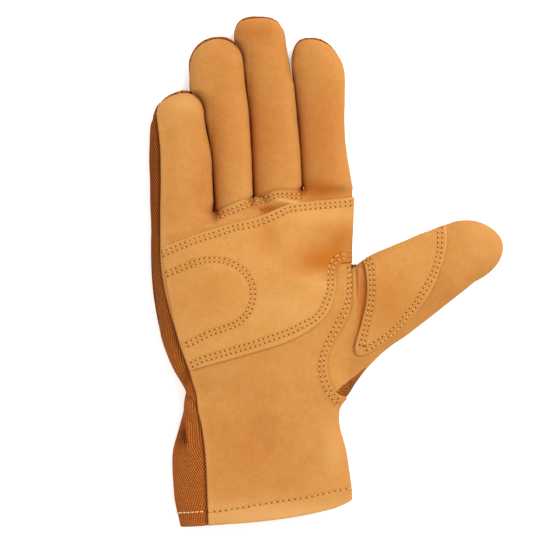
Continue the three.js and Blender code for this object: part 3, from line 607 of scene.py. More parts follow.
# Double rows of stitches, by the sheet that they are sewn into. Each row's holes are a stitch apart,
# and its second row runs beside it
STITCH_ROWS = {
    "palm_leather": [
        {"name": "left row of the thumb seam", "pitch": 2.7, "beside": 0, "line": [
            (11.5, 1.9), (11.6, -3.5), (11.3, -9.5), (10.8, -14.1), (8.8, -19.1), (6.3, -23.8), (3.7, -29),
            (0.9, -34.4), (-1.7, -40.1), (-3.1, -45.7), (-3.5, -50.2), (-2.7, -55.1), (-0.9, -60.5),
            (1.6, -64.2), (3.9, -66.8), (6.6, -68.5)]},
        {"name": "right row of the thumb seam", "pitch": 2.7, "beside": 0, "line": [
            (12.9, -0.4), (13.0, -3.8), (12.9, -9.7), (12.6, -13), (11.8, -17), (11.0, -19.4), (9.9, -22.1),
            (8.5, -24.8), (5.9, -30.1), (3.1, -35.5), (1.6, -38.3), (0.2, -41), (-0.6, -43.6),
            (-1.1, -46.4), (-1.3, -49.2), (-1.1, -52), (-0.2, -55.1), (1.0, -58.2), (2.2, -61),
            (4.2, -63.6), (6.4, -66)]},
        {"name": "base of the ring finger", "pitch": 2.45, "beside": -2.1, "line": [
            (-55.3, 29.6), (-51.9, 31.2), (-47.1, 32.9), (-43, 34.8), (-38.9, 36.7)]},
        {"name": "base of the middle finger", "pitch": 2.45, "beside": -2.0, "line": [
            (-36.6, 36.4), (-33.9, 37.4), (-29.2, 39.2), (-23.7, 40.4), (-18.1, 40.2), (-12.6, 39.6)]},
        {"name": "start of the index finger", "pitch": 2.4, "beside": 0, "line": [
            (-11.9, 44.6), (-11.4, 43.4), (-10.9, 40.2)]},
        {"name": "hem of the cuff", "pitch": 3.0, "beside": 0, "line": [
            (-60.6, -124.3), (-50.2, -123.1), (-40.9, -121.5), (-28.5, -119.4), (-12.7, -117.1),
            (-1.3, -115), (13.2, -112.2)]},
    ],
    "palm_patch": [
        {"name": "top edge of the patch", "pitch": 2.6, "beside": -2.2, "line": [
            (-84.6, 9.8), (-81.4, 11.2), (-73.1, 14.7), (-65.3, 17.6), (-56.9, 20.2), (-51.6, 22),
            (-46.6, 23.6), (-40.4, 24.5), (-35.8, 25.7), (-30.7, 27.6), (-25.2, 30), (-19.9, 32.6),
            (-14.4, 33.6), (-8.6, 34.3), (2.9, 35.4), (13.2, 36.4)]},
        {"name": "bottom edge of the patch", "pitch": 2.6, "beside": 2.3, "line": [
            (-68.6, -49), (-62.1, -46), (-50.7, -42.7), (-39.3, -39.3), (-27.8, -35.4), (-18.5, -32),
            (-11.7, -28.6), (-6.1, -25.7), (-2.1, -21.8), (0.5, -16.9), (2.4, -11.6), (3.3, -6.5),
            (3.2, -1.8), (3.9, 2.2), (5.7, 5.3), (8.1, 6.6), (11.6, 6.7)]},
        {"name": "padded heel", "pitch": 2.6, "beside": -2.1, "line": [
            (-82.2, -0.4), (-73.6, 3.1), (-65.8, 6), (-58.5, 7), (-50.7, 6), (-42.9, 1.8), (-38.5, -3.4),
            (-36.7, -9.6), (-37.2, -16.4), (-40, -22.6), (-44.5, -27), (-50.7, -29.9), (-58.5, -32.5),
            (-65.8, -36.1), (-73, -39.6)]},
    ],
    "thumb_patch": [
        {"name": "left edge of the thumb's patch", "pitch": 2.6, "beside": 1.9, "line": [
            (21.2, 5.6), (22.4, 2.7), (22.8, -1.8), (23, -6.7), (22.6, -12.9), (21.7, -19.2), (20, -27.1),
            (18.6, -33.5), (17.1, -39.2)]},
        {"name": "right edge of the thumb's patch", "pitch": 2.6, "beside": -2.1, "line": [
            (60, 22.4), (60, 18.5), (59.7, 12.8), (58.6, 6.3), (56.7, -0.2), (53.7, -6.2), (50.2, -11.8),
            (46.7, -17.8), (42.3, -22.9), (38.6, -28.2), (33.5, -32.9), (27.9, -36.8), (22.4, -40),
            (19.2, -40.9)]},
    ],
}


def sewn_lines(sheet):
    """Both lines of every double row on a sheet, with their stitch length."""
    lines = []
    for row in STITCH_ROWS[sheet]:
        first = drawn_line(row["line"])
        lines.append((first, row["pitch"]))
        if row["beside"]:
            lines.append((beside(first, row["beside"]), row["pitch"]))
    return lines


def seam_relief(points, sheet):
    """A sewn line is a groove 0.3 deep and 0.6 wide, deeper at each hole, with the leather swelling
    beside it; the second value is 1 on the line and fades beside it."""
    points = points[:, :2]
    relief, sewn = np.zeros(len(points)), np.zeros(len(points))
    for line, pitch in sewn_lines(sheet):
        low, high = line.min(0) - 5, line.max(0) + 5
        near = np.flatnonzero(((points > low) & (points < high)).all(1))
        distance, place = distance_to(points[near], line)
        hole = (0.5 + 0.5 * np.cos(2 * np.pi * place * LINE_SPACING / pitch)) ** 2
        groove = -(0.26 + 0.22 * hole) * np.exp(-((distance / 0.6) ** 2))
        swell = 0.14 * np.exp(-(((distance - 1.5) / 0.9) ** 2))
        relief[near] += groove + swell
        sewn[near] = np.maximum(sewn[near], np.exp(-((distance / 1.3) ** 2)))
    return relief, sewn


def palm_fold_rise(points):
    """The palm stands 0.55 over its own level along the edge that is folded over the thumb's leather."""
    fading = smooth(points[:, 1], -70, -64) * (1 - smooth(points[:, 1], -2, 3))
    return 0.55 * (1 - smooth(off_table(points, PALM_EDGE), 3.6, 6.0)) * fading


skins = {}


def linked(name, data):
    """An object of the scene that holds the data."""
    thing = bpy.data.objects.new(name, data)
    bpy.context.scene.collection.objects.link(thing)
    return thing


def piece_of(name, mesh, material, slot, *nodes):
    """An object at the origin, in its material, that rides on the glove and stands for the nodes named."""
    mesh.shade_smooth()
    mesh.materials.append(material)
    piece = linked(name, mesh)
    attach(piece, "root")
    if nodes:
        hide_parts(*nodes)


def wall(node, points, quads, outer, thickness, material, slot, roll=0.45, masks=None, uv=None):
    """A closed wall round a sheet of points in millimetres: the sheet moved along its normals to outer
    and to a thickness below it, and a rounded strip along each open edge. Towards an edge the outer side
    rolls down. It replaces the node of the same name."""
    count = len(points)
    normals = sheet_normals(points, quads)
    border = open_edges(quads, count)
    rim = np.unique(border)
    edge_distance, _ = distance_to(points, points[rim])
    rolled = roll * (1 - np.minimum(1, edge_distance / 1.1)) ** 2
    upper = points + normals * (outer - rolled)[:, None]
    lower = points + normals * (outer - thickness)[:, None]
    lower[:, 2] = np.maximum(lower[:, 2], 0)
    skins[node] = upper, normals
    run = points[border[:, 1]] - points[border[:, 0]]
    out = np.cross(run, normals[border[:, 0]])
    outward = np.zeros((count, 3))
    for axis in range(3):
        outward[:, axis] = np.bincount(border.ravel(), np.repeat(out[:, axis], 2), count)
    outward = outward[rim] / np.maximum(np.linalg.norm(outward[rim], axis=1), 1e-9)[:, None]
    middle = (upper[rim] + lower[rim]) / 2 + outward * 0.12
    at_rim = np.zeros(count, int)
    at_rim[rim] = 2 * count + np.arange(len(rim))
    start, end = border.T
    strips = [
        np.stack([end, start, at_rim[start], at_rim[end]], -1),
        np.stack([at_rim[end], at_rim[start], start + count, end + count], -1),
    ]
    faces = np.vstack([quads, quads[:, ::-1] + count, *strips])
    kept = faces != np.roll(faces, 1, axis=1)
    loops, sizes = faces[kept], kept.sum(1)
    vertices = np.vstack([upper, lower, middle]) * METRES
    mesh = bpy.data.meshes.new(node + "_cut")
    mesh.vertices.add(len(vertices))
    mesh.vertices.foreach_set("co", vertices.astype(np.float32).ravel())
    mesh.loops.add(len(loops))
    mesh.loops.foreach_set("vertex_index", loops.astype(np.int32))
    mesh.polygons.add(len(faces))
    mesh.polygons.foreach_set("loop_start", (np.cumsum(sizes) - sizes).astype(np.int32))
    mesh.update(calc_edges=True)
    # Each piece carries its mask of painted light, from the table of places
    values = {"edge": np.exp(-((edge_distance / 1.4) ** 2)), "painted_light": painted_light_share(points, node)}
    for label, value in (values | (masks or {})).items():
        attribute = mesh.attributes.new(label, "FLOAT", "POINT")
        attribute.data.foreach_set("value", np.concatenate([value, value, value[rim]]).astype(np.float32))
    if uv is not None:
        layer = mesh.uv_layers.new(name="cloth")
        layer.data.foreach_set("uv", np.vstack([uv, uv, uv[rim]])[loops].astype(np.float32).ravel())
    piece_of(node + "_cut", mesh, material, slot, node)


def effect_group(name, vectors, colours, floats):
    """An empty shader node group with inputs of three kinds, that gives a colour, roughness and height."""
    group = bpy.data.node_groups.new(name, "ShaderNodeTree")
    for kind, labels in (("Vector", vectors), ("Color", colours), ("Float", floats)):
        for label in labels:
            group.interface.new_socket(label, in_out="INPUT", socket_type=f"NodeSocket{kind}")
    for label, kind in (("Colour", "Color"), ("Roughness", "Float"), ("Height", "Float")):
        group.interface.new_socket(label, in_out="OUTPUT", socket_type=f"NodeSocket{kind}")
    return group, group.nodes.new("NodeGroupInput"), group.nodes.new("NodeGroupOutput")


def calc(tree, operation, *values):
    """A math node on sockets and numbers; returns its output."""
    node = tree.nodes.new("ShaderNodeMath")
    node.operation = operation
    for socket, value in zip(node.inputs, values):
        if isinstance(value, (int, float)):
            socket.default_value = value
        else:
            tree.links.new(value, socket)
    return node.outputs[0]


def math_nodes(tree):
    """Functions that add, subtract, multiply, raise to a power and take the greater, by math nodes."""
    return [partial(calc, tree, kind) for kind in ("ADD", "SUBTRACT", "MULTIPLY", "POWER", "MAXIMUM")]


def give(tree, made, colour, roughness, height):
    """Links a group's three results to its outputs."""
    for value, label in ((colour, "Colour"), (roughness, "Roughness"), (height, "Height")):
        tree.links.new(value, made.inputs[label])


def unit(tree, value):
    """The value held between 0 and 1."""
    return calc(tree, "MINIMUM", calc(tree, "MAXIMUM", value, 0.0), 1.0)


def shaded(name, values):
    """A material whose shader has the values named, with its node tree and its shader."""
    material = bpy.data.materials.new(name)
    material.use_nodes = True
    shader = material.node_tree.nodes["Principled BSDF"]
    for label, value in values.items():
        shader.inputs[label].default_value = value
    return material, material.node_tree, shader


def bumped(tree, shader, height, strength, distance):
    """The shader's normal is bent by a height."""
    bump = tree.nodes.new("ShaderNodeBump")
    bump.inputs["Strength"].default_value = strength
    bump.inputs["Distance"].default_value = distance
    tree.links.new(height, bump.inputs["Height"])
    tree.links.new(bump.outputs["Normal"], shader.inputs["Normal"])


def grouped_finish(name, group, values, masks, looks, strength, distance):
    """A material that shows a group's colour, roughness and height; the masks are mesh attributes."""
    material, tree, shader = shaded(name, looks)
    effect = tree.nodes.new("ShaderNodeGroup")
    effect.node_tree = group
    for label, value in values.items():
        effect.inputs[label].default_value = (*value, 1) if isinstance(value, tuple) else value
    tree.links.new(tree.nodes.new("ShaderNodeTexCoord").outputs["Object"], effect.inputs["Place"])
    for label in masks:
        mask = tree.nodes.new("ShaderNodeAttribute")
        mask.attribute_name = label
        tree.links.new(mask.outputs["Fac"], effect.inputs[label.capitalize()])
    tree.links.new(effect.outputs["Colour"], shader.inputs["Base Color"])
    tree.links.new(effect.outputs["Roughness"], shader.inputs["Roughness"])
    bumped(tree, shader, effect.outputs["Height"], strength, distance)
    return material, tree, effect


def blend_colour(tree, share, first, second, kind="MIX"):
    """Mixes two colours, given as sockets or as red, green and blue, by a share."""
    node = tree.nodes.new("ShaderNodeMix")
    node.data_type = "RGBA"
    node.blend_type = kind
    for socket, value in ((node.inputs[0], share), (node.inputs[6], first), (node.inputs[7], second)):
        if isinstance(value, (int, float)):
            socket.default_value = value
        elif isinstance(value, tuple):
            socket.default_value = (*value, 1)
        else:
            tree.links.new(value, socket)
    return node.outputs[2]


def noise(tree, place, scale, detail=2.0, roughness=0.5):
    """A noise texture at a scale of waves per metre; returns its value."""
    node = tree.nodes.new("ShaderNodeTexNoise")
    node.inputs["Scale"].default_value = scale
    node.inputs["Detail"].default_value = detail
    node.inputs["Roughness"].default_value = roughness
    tree.links.new(place, node.inputs["Vector"])
    return node.outputs["Fac"]


# Nubuck: soft blotches of the tan, a short nap, darker round the stitching, edges rubbed lighter, and painted
# shade and painted highlight from a mask
nubuck, given, made = effect_group(
    "nubuck", ["Place"], ["Tan", "Shade", "Deep"], ["Edge", "Sewn", "Painted_light", "Blotches", "Rub"]
)
plus, minus, times, power, greater = math_nodes(nubuck)
tint = partial(blend_colour, nubuck)
place, shade, deep, painted_light = (given.outputs[label] for label in ("Place", "Shade", "Deep", "Painted_light"))
cloud = noise(nubuck, place, 38, 4, 0.55)
patchy = noise(nubuck, place, 150, 3, 0.6)
grain = noise(nubuck, place, 430, 3, 0.65)
nap = noise(nubuck, place, 1500, 3, 0.65)
pores = noise(nubuck, place, 4200, 1, 0.5)
tone = times(minus(plus(times(cloud, 0.65), times(patchy, 0.35)), 0.42), 3.2)
colour = tint(times(unit(nubuck, tone), given.outputs["Blotches"]), given.outputs["Tan"], shade)
speck = plus(times(minus(nap, 0.5), 0.7), times(minus(grain, 0.5), 1.9))
colour = tint(greater(plus(speck, 0.1), 0.0), colour, shade)
rubbed = times(given.outputs["Edge"], times(given.outputs["Rub"], patchy))
colour = tint(rubbed, colour, (0.60, 0.33, 0.125))
# Darker round the stitching; on the thumb's front this mask holds painted shade under the palm's folded edge
colour = tint(times(power(given.outputs["Sewn"], 2.0), 0.2), colour, deep)
# Painted shade towards the deep colour where the mask of painted light is over 0, and painted highlight
# towards a pale tan where it is under 0
colour = tint(greater(painted_light, 0.0), colour, deep)
colour = tint(greater(times(painted_light, -1.0), 0.0), colour, (0.60, 0.33, 0.115))
height = plus(plus(times(nap, 0.7), times(pores, 0.3)), times(patchy, 1.2))
give(nubuck, made, colour, plus(times(nap, 0.14), 0.76), height)


def leather_finish(name, tan, shade, deep):
    """A nubuck leather: the group on a dull shader with a little sheen."""
    values = {"Tan": tan, "Shade": shade, "Deep": deep, "Blotches": 0.6, "Rub": 0.35}
    looks = {"Specular IOR Level": 0.04, "Sheen Weight": 0.03, "Sheen Roughness": 0.6,
             "Sheen Tint": (1.0, 0.66, 0.3, 1)}
    return grouped_finish(name, nubuck, values, ("edge", "sewn", "painted_light"), looks, 0.35, 0.00025)[0]


# Third colour: the deep tan of the painted shade, also used round the stitching
palm_finish = leather_finish(
    "nubuck_leather", (0.475, 0.214, 0.058), (0.41, 0.156, 0.029), (0.32, 0.066, 0.004)
)


def leather_relief(points, quads, sheet, extra=0.0):
    """How far a leather sheet's outer side stands over its smooth form, and its mask of sewn lines."""
    relief, sewn = seam_relief(points, sheet)
    form = level_share(points, quads) * folds(points, sheet, FOLDS)
    return form + softness(points, 0.12, **LEATHER_WAVES) + relief + extra, sewn


def level_share(points, quads):
    """1 where a sheet lies level and 0 where it stands upright, so that folds don't dent its outline."""
    return smooth(sheet_normals(points, quads)[:, 2], 0.2, 0.8)


def fine_columns(first, last, cells):
    """Column numbers from first to last, each divided into cells."""
    return np.linspace(first, last, (last - first) * cells + 1)


palm_points, palm_quads = hand_sheet(
    "front", fine_columns(0, 22, 5), np.linspace(0, 1, 190), [LITTLE, INDEX], 66, 20
)
palm_relief, palm_sewn = leather_relief(palm_points, palm_quads, "palm_leather", palm_fold_rise(palm_points))
crotches = np.array([[(RING["left"][0] + LITTLE["right"][0]) / 2, 30.5], [-37.9, 38.5], [-12.7, 43.5]])
at_crotch, _ = distance_to(palm_points[:, :2], crotches)
at_hem = off_table(palm_points, HEM_LINE)
palm_wall = np.where(at_crotch < CROTCH_REACH, 0.15, LEATHER_WALL)
palm_wall += HEM_TURN * (1 - smooth(at_hem, *HEM_EDGE))
palm_relief += 0.25 * (1 - smooth(at_hem, 7.2, 8.6))
bases = [corner for corner in zip(CROTCH_LINE["x"], CROTCH_LINE["y"]) if -58.5 < corner[0] < -12.8]
at_bases, _ = distance_to(palm_points[:, :2], drawn_line(bases, 0.4))
palm_wall = np.where(at_bases < 1.6, np.minimum(palm_wall, 0.4), palm_wall)
at_canvas = off_seam(palm_points)
palm_relief += 0.6 * np.exp(-((at_canvas / 2.0) ** 2))
palm_wall += 1.55 * np.exp(-((at_canvas / 1.3) ** 2))
wall("palm_leather", palm_points, palm_quads, palm_relief, palm_wall, palm_finish, "leather",
     masks={"sewn": palm_sewn})

# The fronts of the ring and middle finger are cut separately from the same leather. Each is sewn into
# the palm across its base, and its sides are sewn to the canvas back.
for name, finger in (("ring_finger_front", RING), ("middle_finger_front", MIDDLE)):
    first, last = finger["columns"]
    columns = fine_columns(first, last, 6)
    whole = finger_grid("front", finger, columns, 80, 20, -0.9)
    base = finger_grid("front", finger, columns, 4000, 2, -0.9)[:1]
    grid = np.vstack([base, whole])
    numbers = numbered(grid)
    points = np.vstack([grid.reshape(-1, 3), fingertip(finger, "front")[None]])
    quads = woven(np.vstack([numbers, np.full((1, len(columns)), numbers.size)]))
    above = points[:, 1] - run_through(CROTCH_LINE, "x", "y", points[:, 0])
    relief = softness(points, 0.10, **LEATHER_WAVES) - 1.15 * (1 - smooth(above, -0.6, 1.3))
    wall(name, points, quads, relief, LEATHER_WALL, palm_finish, "leather", roll=0.9)

# The thumb's front is a leather cut of its own. It starts below the palm's folded edge, wraps over the
# thumb and is sewn to the thumb's back round its outline.
THUMB_LINES = {
    "line": [0, 1, 2, 3, 4, 5, 6, 7, 8, 9],
    "upper": [14.6, 17, 21, 26, 32, 39, 47, 55, 62.5, 69.5],
    "lower": [-20.6, -15.6, -9.3, 0, 12, 24, 37, 50, 61, 69.5],
    "curve": [1, 0.75, 0.5, 0.25, 0.1, 0, 0, 0, 0, 0],
    "sliver": [4, 6, 4.2, 0, 0, 0, 0, 0, 0, 0],
}
# Lower edge of the thumb's leather over the sliver of canvas; further out it is the thumb's outline
THUMB_LEATHER_EDGE = {
    "line": [0, 0.5, 1, 1.5, 2, 2.5, 3],
    "x": [4.5, 5.4, 7.9, 11.7, 15.4, 18.9, 21.7],
    "y": [-66.5, -63.2, -60.1, -57.3, -54.4, -51.6, -49.9],
}


WRAP_COLUMNS = 8


def thumb_line_ends(upper_along, lower_along):
    """Ends of a cross line on the thumb's upper and lower outline."""
    center, half, _, _ = thumb_section(upper_along)
    upper = thumb_point(upper_along, center + half)
    center, half, _, _ = thumb_section(lower_along)
    return np.stack(upper, -1), np.stack(thumb_point(lower_along, center - half), -1)


def thumb_back_seam(y):
    """x of the straight seam between the ends of the first cross line."""
    upper, lower = thumb_line_ends(np.array(14.6), np.array(-20.6))
    return mix(lower[0], upper[0], (y - lower[1]) / (upper[1] - lower[1]))


def thumb_sheet(side, cells, line_rows, cap_rows):
    """Cross lines from the palm seam to the tip, each spread by the cosine of an angle from the lower
    outline to the upper one; the palm seam's curve fades from line to line. The front is drawn to its
    leather edge there, and the back's first eight columns reach from that edge to the outline."""
    line = np.linspace(0, 9, line_rows)
    turned = np.sin(np.arange(1, cap_rows) / cap_rows * np.pi / 2)
    cap = THUMB_CAP["start"] + (THUMB_CAP["along"] - THUMB_CAP["start"]) * turned
    column = {key: run_through(THUMB_LINES, "line", key, line) for key in THUMB_LINES}
    upper_end, lower_end = thumb_line_ends(
        np.concatenate([column["upper"], cap]), np.concatenate([column["lower"], cap])
    )
    still_curved = np.concatenate([column["curve"], 0 * cap])[:, None]
    sliver = np.concatenate([np.where(line > 3, 0, np.maximum(column["sliver"], 0)), 0 * cap])
    chord = np.linalg.norm(upper_end - lower_end, axis=1)
    edge_share = (sliver / chord)[:, None]
    edge_angle = np.arccos(np.clip(-1 + 2 * edge_share, -1, 1))
    edge = lower_end.copy()
    first = np.flatnonzero(line <= 3)
    edge[first] = np.stack([run_through(THUMB_LEATHER_EDGE, "line", axis, line[first]) for axis in "xy"], -1)
    cell = np.linspace(0, 1, cells + 1)[None]
    if side == "front":
        angle = mix(edge_angle, 0, cell)
        share = (1 + np.cos(angle)) / 2
        x = mix(lower_end[:, :1], upper_end[:, :1], share)
        y = mix(lower_end[:, 1:], upper_end[:, 1:], share)
        within = (y >= THUMB_SEAM["y"][0]) & (y <= THUMB_SEAM["y"][-1])
        bend = run_through(THUMB_SEAM, "y", "x", y) - thumb_back_seam(y)
        x = x + np.where(within, still_curved * bend, 0)
        near_edge = np.clip(1 - (share - edge_share) / 0.4, 0, 1) ** 2
        shift = edge - np.stack([x[:, 0], y[:, 0]], -1)
        x, y = x + near_edge * shift[:, :1], y + near_edge * shift[:, 1:]
    else:
        lower = mix(-np.pi, 0, cell) * np.ones_like(edge_angle)
        share = (1 + np.cos(lower)) / 2
        x = mix(lower_end[:, :1], upper_end[:, :1], share)
        y = mix(lower_end[:, 1:], upper_end[:, 1:], share)
        wrap = np.linspace(1, 0, WRAP_COLUMNS + 1)[None, :-1] ** 1.3
        towards = edge - lower_end
        x = np.hstack([lower_end[:, :1] + towards[:, :1] * wrap, x])
        y = np.hstack([lower_end[:, 1:] + towards[:, 1:] * wrap, y])
    full, top = glove_top(x, y)
    wrapped = np.arange(x.shape[1]) < WRAP_COLUMNS
    grid = np.stack([x, y, side_height(side, full, top, x, y, wrapped)], -1)
    tip_x, tip_y = thumb_point(THUMB_CAP["along"], THUMB_CAP["side"])
    tip = np.array([tip_x, tip_y, seam_height(side, tip_x, tip_y)])
    rows = np.vstack([numbered(grid), np.full((1, grid.shape[1]), x.size)])
    return np.vstack([grid.reshape(-1, 3), tip[None]]), woven(rows[::-1])


thumb_points, thumb_quads = thumb_sheet("front", 84, 150, 22)
x, y, _ = thumb_points.T
covered = (x < run_through(PALM_EDGE, "y", "x", y)) & (y < 2.6)
near_palm = 1 - smooth(off_table(thumb_points, PALM_EDGE), 0.2, 1.6)
under_palm = np.where(covered, 1.0, near_palm) * (1 - smooth(y, -3, 2.6))
patch_row = beside(drawn_line(STITCH_ROWS["thumb_patch"][0]["line"]), -2.2)
beside_patch, _ = distance_to(thumb_points[:, :2], patch_row)
# Painted light on the thumb's front, with a painted shadow along the left edge of the thumb's patch, which
# stands over it
thumb_painted_light = painted_light_share(thumb_points, "thumb_front") + 0.85 * np.exp(-((beside_patch / 0.7) ** 2))
thumb_relief = level_share(thumb_points, thumb_quads) * folds(thumb_points, "thumb_front", FOLDS)
thumb_relief += softness(thumb_points, 0.10, **LEATHER_WAVES) - 0.55 * under_palm
# The sewn mask here is painted shade on the thumb's leather under and beside the palm's folded edge
wall("thumb_front", thumb_points, thumb_quads, thumb_relief, LEATHER_WALL, palm_finish, "leather",
     masks={"sewn": 0.4 * under_palm, "painted_light": thumb_painted_light})

# A second layer of leather reinforces the palm. It is laid on the palm and sewn down with a double row
# along its top and bottom edge, and the double D near the little finger holds a thin pad under it.
PALM_PATCH = {
    "share": [0, 0.14, 0.3, 0.44, 0.56, 0.67, 0.78, 0.88, 0.92, 0.95, 0.97, 0.985, 1],
    "topX": [-83.6, -73, -56.5, -42.5, -31.5, -20, -9.5, 0.5, 5.2, 8.9, 11.8, 13.6, 14.7],
    "topY": [11.9, 16.6, 22.3, 26.2, 29.4, 34.3, 36.1, 37, 37.5, 37.9, 38.2, 38.4, 38.6],
    "bottomX": [-69, -58, -42.9, -30, -18.5, -8.2, 0.4, 4.1, 4.9, 4.9, 5.8, 8.2, 13.0],
    "bottomY": [-51, -47.6, -43.4, -39.6, -35.6, -29.9, -22, -12, -6.5, -1.8, 1.6, 4.2, 4.8],
}
PAD = STITCH_ROWS["palm_patch"][2]["line"]


def patch_sheet(place, cells, rows):
    """A patch's grid between its two edges, lying on the hand and thumb."""
    across, up = np.meshgrid(np.linspace(0, 1, cells + 1), np.linspace(0, 1, rows + 1))
    x, y = place(across, up)
    _, top = glove_top(x, y)
    grid = np.stack([x, y, front_height(top, x, y)], -1)
    return grid.reshape(-1, 3), woven(numbered(grid))


def on_palm_patch(across, up):
    """Straight lines from the bottom edge to the top one; the left end follows the canvas seam and the
    right end the hand's outline."""
    edge = {key: run_through(PALM_PATCH, "share", key, across) for key in PALM_PATCH}
    x = mix(edge["bottomX"], edge["topX"], up)
    y = mix(edge["bottomY"], edge["topY"], up)
    first = mix(PALM_PATCH["bottomX"][0], PALM_PATCH["topX"][0], up)
    last = mix(PALM_PATCH["bottomX"][-1], PALM_PATCH["topX"][-1], up)
    to_seam = run_through(HAND, "y", "seam", y) + 0.7 - first
    to_outline = run_through(HAND, "y", "right", y) - 0.1 - last
    x = x + to_seam * np.maximum(0, 1 - across / 0.2) ** 2 + to_outline * np.maximum(0, across * 10 - 9) ** 2
    return x, y


def inside_pad(points):
    """1 well inside the double D and 0 outside it: a winding test against its outline."""
    x, y, _ = points.T
    outline = np.array(PAD + [(-90.0, -46.0), (-96.0, 0.0)])
    after = np.roll(outline, -1, axis=0)
    inside = np.zeros(len(x), bool)
    for (x0, y0), (x1, y1) in zip(outline, after):
        crossing = (y0 > y) != (y1 > y)
        inside ^= crossing & (x < (x1 - x0) * (y - y0) / (y1 - y0 + 1e-12) + x0)
    to_line, _ = distance_to(points[:, :2], drawn_line(PAD))
    return np.where(inside, smooth(to_line, 1.2, 5.5), 0)


# Third colour: the deep tan of the painted shade, also used round the stitching
patch_finish = leather_finish(
    "nubuck_patch_leather", (0.505, 0.238, 0.067), (0.44, 0.178, 0.036), (0.36, 0.10, 0.009)
)
patch_points, patch_quads = patch_sheet(on_palm_patch, 200, 150)
padding = 0.9 * inside_pad(patch_points)
patch_relief, patch_sewn = leather_relief(patch_points, patch_quads, "palm_patch", padding)
wall("palm_patch", patch_points, patch_quads, patch_relief + 1.45, 1.33, patch_finish, "patch_leather",
     roll=0.55, masks={"sewn": patch_sewn})

# The leaf-shaped patch reinforces the thumb's crotch and ball. It is sewn on with a double row along
# both of its long edges and is caught in the seam on the thumb's upper side.
THUMB_PATCH = {
    "share": [0, 0.06, 0.15, 0.25, 0.35, 0.48, 0.6, 0.72, 0.82, 0.9, 0.96, 1],
    "leftX": [15.8, 15.0, 16.2, 17.9, 19.4, 20.9, 21.3, 21.1, 20.7, 20.2, 19.3, 18.4],
    "leftY": [-42.9, -39.5, -34, -28.4, -22.6, -15.2, -8.5, -3.4, 0.2, 2.8, 4.4, 5.3],
    "rightX": [17.6, 21.6, 27.6, 34, 40.2, 46.7, 51.8, 56, 59, 61, 62.3, 62.5],
    "rightY": [-43.3, -41.9, -38.3, -34, -28, -20.1, -13.4, -5.6, 2.2, 8.2, 15, 24.3],
}


def on_thumb_patch(across, up):
    """Lines from the left edge to the right one, bowed up until they follow the thumb's outline."""
    up = 1 - (1 - up) ** 1.5
    edge = {key: run_through(THUMB_PATCH, "share", key, up) for key in THUMB_PATCH}
    x = mix(edge["leftX"], edge["rightX"], across)
    y = mix(edge["leftY"], edge["rightY"], across) + 3.2 * up**3 * np.sin(np.pi * across)
    along, side = thumb_place(x, y)
    center, half, _, _ = thumb_section(along)
    return thumb_point(along, np.minimum(side, center + half - 0.3))


leaf_points, leaf_quads = patch_sheet(on_thumb_patch, 100, 130)
leaf_along, leaf_side = thumb_place(leaf_points[:, 0], leaf_points[:, 1])
leaf_center, leaf_half, _, _ = thumb_section(leaf_along)
thinned = 0.7 * (1 - smooth(leaf_center + leaf_half - leaf_side, 0.3, 4))
leaf_relief, leaf_sewn = leather_relief(leaf_points, leaf_quads, "thumb_patch")
wall("thumb_patch", leaf_points, leaf_quads, leaf_relief + 1.35 - thinned, 1.23 - thinned, patch_finish,
     "patch_leather", roll=0.5, masks={"sewn": leaf_sewn})

# The back of the hand, cuff and fingers is one cut of rusty brown duck canvas. It wraps up round the
# little finger's side to the leather's edge, and is drawn together at the wrist.
CANVAS_WALL = 1.2
weave, given, made = effect_group(
    "duck_canvas", ["Thread", "Place"], ["Yarn", "Light yarn", "Gap"], ["Edge", "Painted_light"]
)
plus, minus, times, power, _ = math_nodes(weave)
tint = partial(blend_colour, weave)
place, light_yarn, gap = (given.outputs[label] for label in ("Place", "Light yarn", "Gap"))
split = weave.nodes.new("ShaderNodeSeparateXYZ")
weave.links.new(given.outputs["Thread"], split.inputs[0])
wobble = times(noise(weave, place, 260, 2), 0.4)
warp, weft = (plus(split.outputs[axis], wobble) for axis in "XY")
halves = [minus(calc(weave, "FRACT", side), 0.5) for side in (warp, weft)]
round_warp, round_weft = (minus(1.0, times(times(half, half), 4.0)) for half in halves)
over = calc(weave, "PINGPONG", plus(calc(weave, "FLOOR", warp), calc(weave, "FLOOR", weft)), 1.0)
warp_height = times(times(round_warp, plus(times(round_weft, 0.55), 0.45)), over)
weft_height = times(times(round_weft, plus(times(round_warp, 0.55), 0.45)), minus(1.0, over))
thread_height = plus(warp_height, weft_height)
faded = noise(weave, place, 60, 4, 0.6)
slub = noise(weave, place, 900, 2, 0.6)
uneven = unit(weave, times(minus(slub, 0.42), 2.2))
yarn_tone = times(plus(times(uneven, 0.5), 0.5), plus(times(over, 0.85), 0.05))
colour = tint(yarn_tone, given.outputs["Yarn"], light_yarn)
colour = tint(times(given.outputs["Edge"], times(faded, 0.25)), colour, light_yarn)
# Painted shade: towards the gap colour where the threads dip between each other, and where the mask of
# painted light is over 0
colour = tint(times(power(minus(1.0, thread_height), 2.0), 0.9), colour, gap)
colour = tint(times(given.outputs["Painted_light"], 0.75), colour, gap)
give(weave, made, colour, plus(times(slub, 0.15), 0.8), thread_height)

# Gap is the dark brown of the painted shade
canvas_finish, tree, effect = grouped_finish(
    "duck_canvas", weave,
    {"Yarn": (0.20, 0.038, 0.003), "Light yarn": (0.80, 0.275, 0.056), "Gap": (0.05, 0.008, 0.001)},
    ("edge", "painted_light"),
    {"Specular IOR Level": 0.04, "Sheen Weight": 0.02, "Sheen Roughness": 0.5,
     "Sheen Tint": (1.0, 0.5, 0.2, 1)},
    0.6, 0.0002,
)
cloth_map = tree.nodes.new("ShaderNodeUVMap")
cloth_map.uv_map = "cloth"
tree.links.new(cloth_map.outputs["UV"], effect.inputs["Thread"])

WARP_PITCH, WEFT_PITCH = 0.75, 1.07


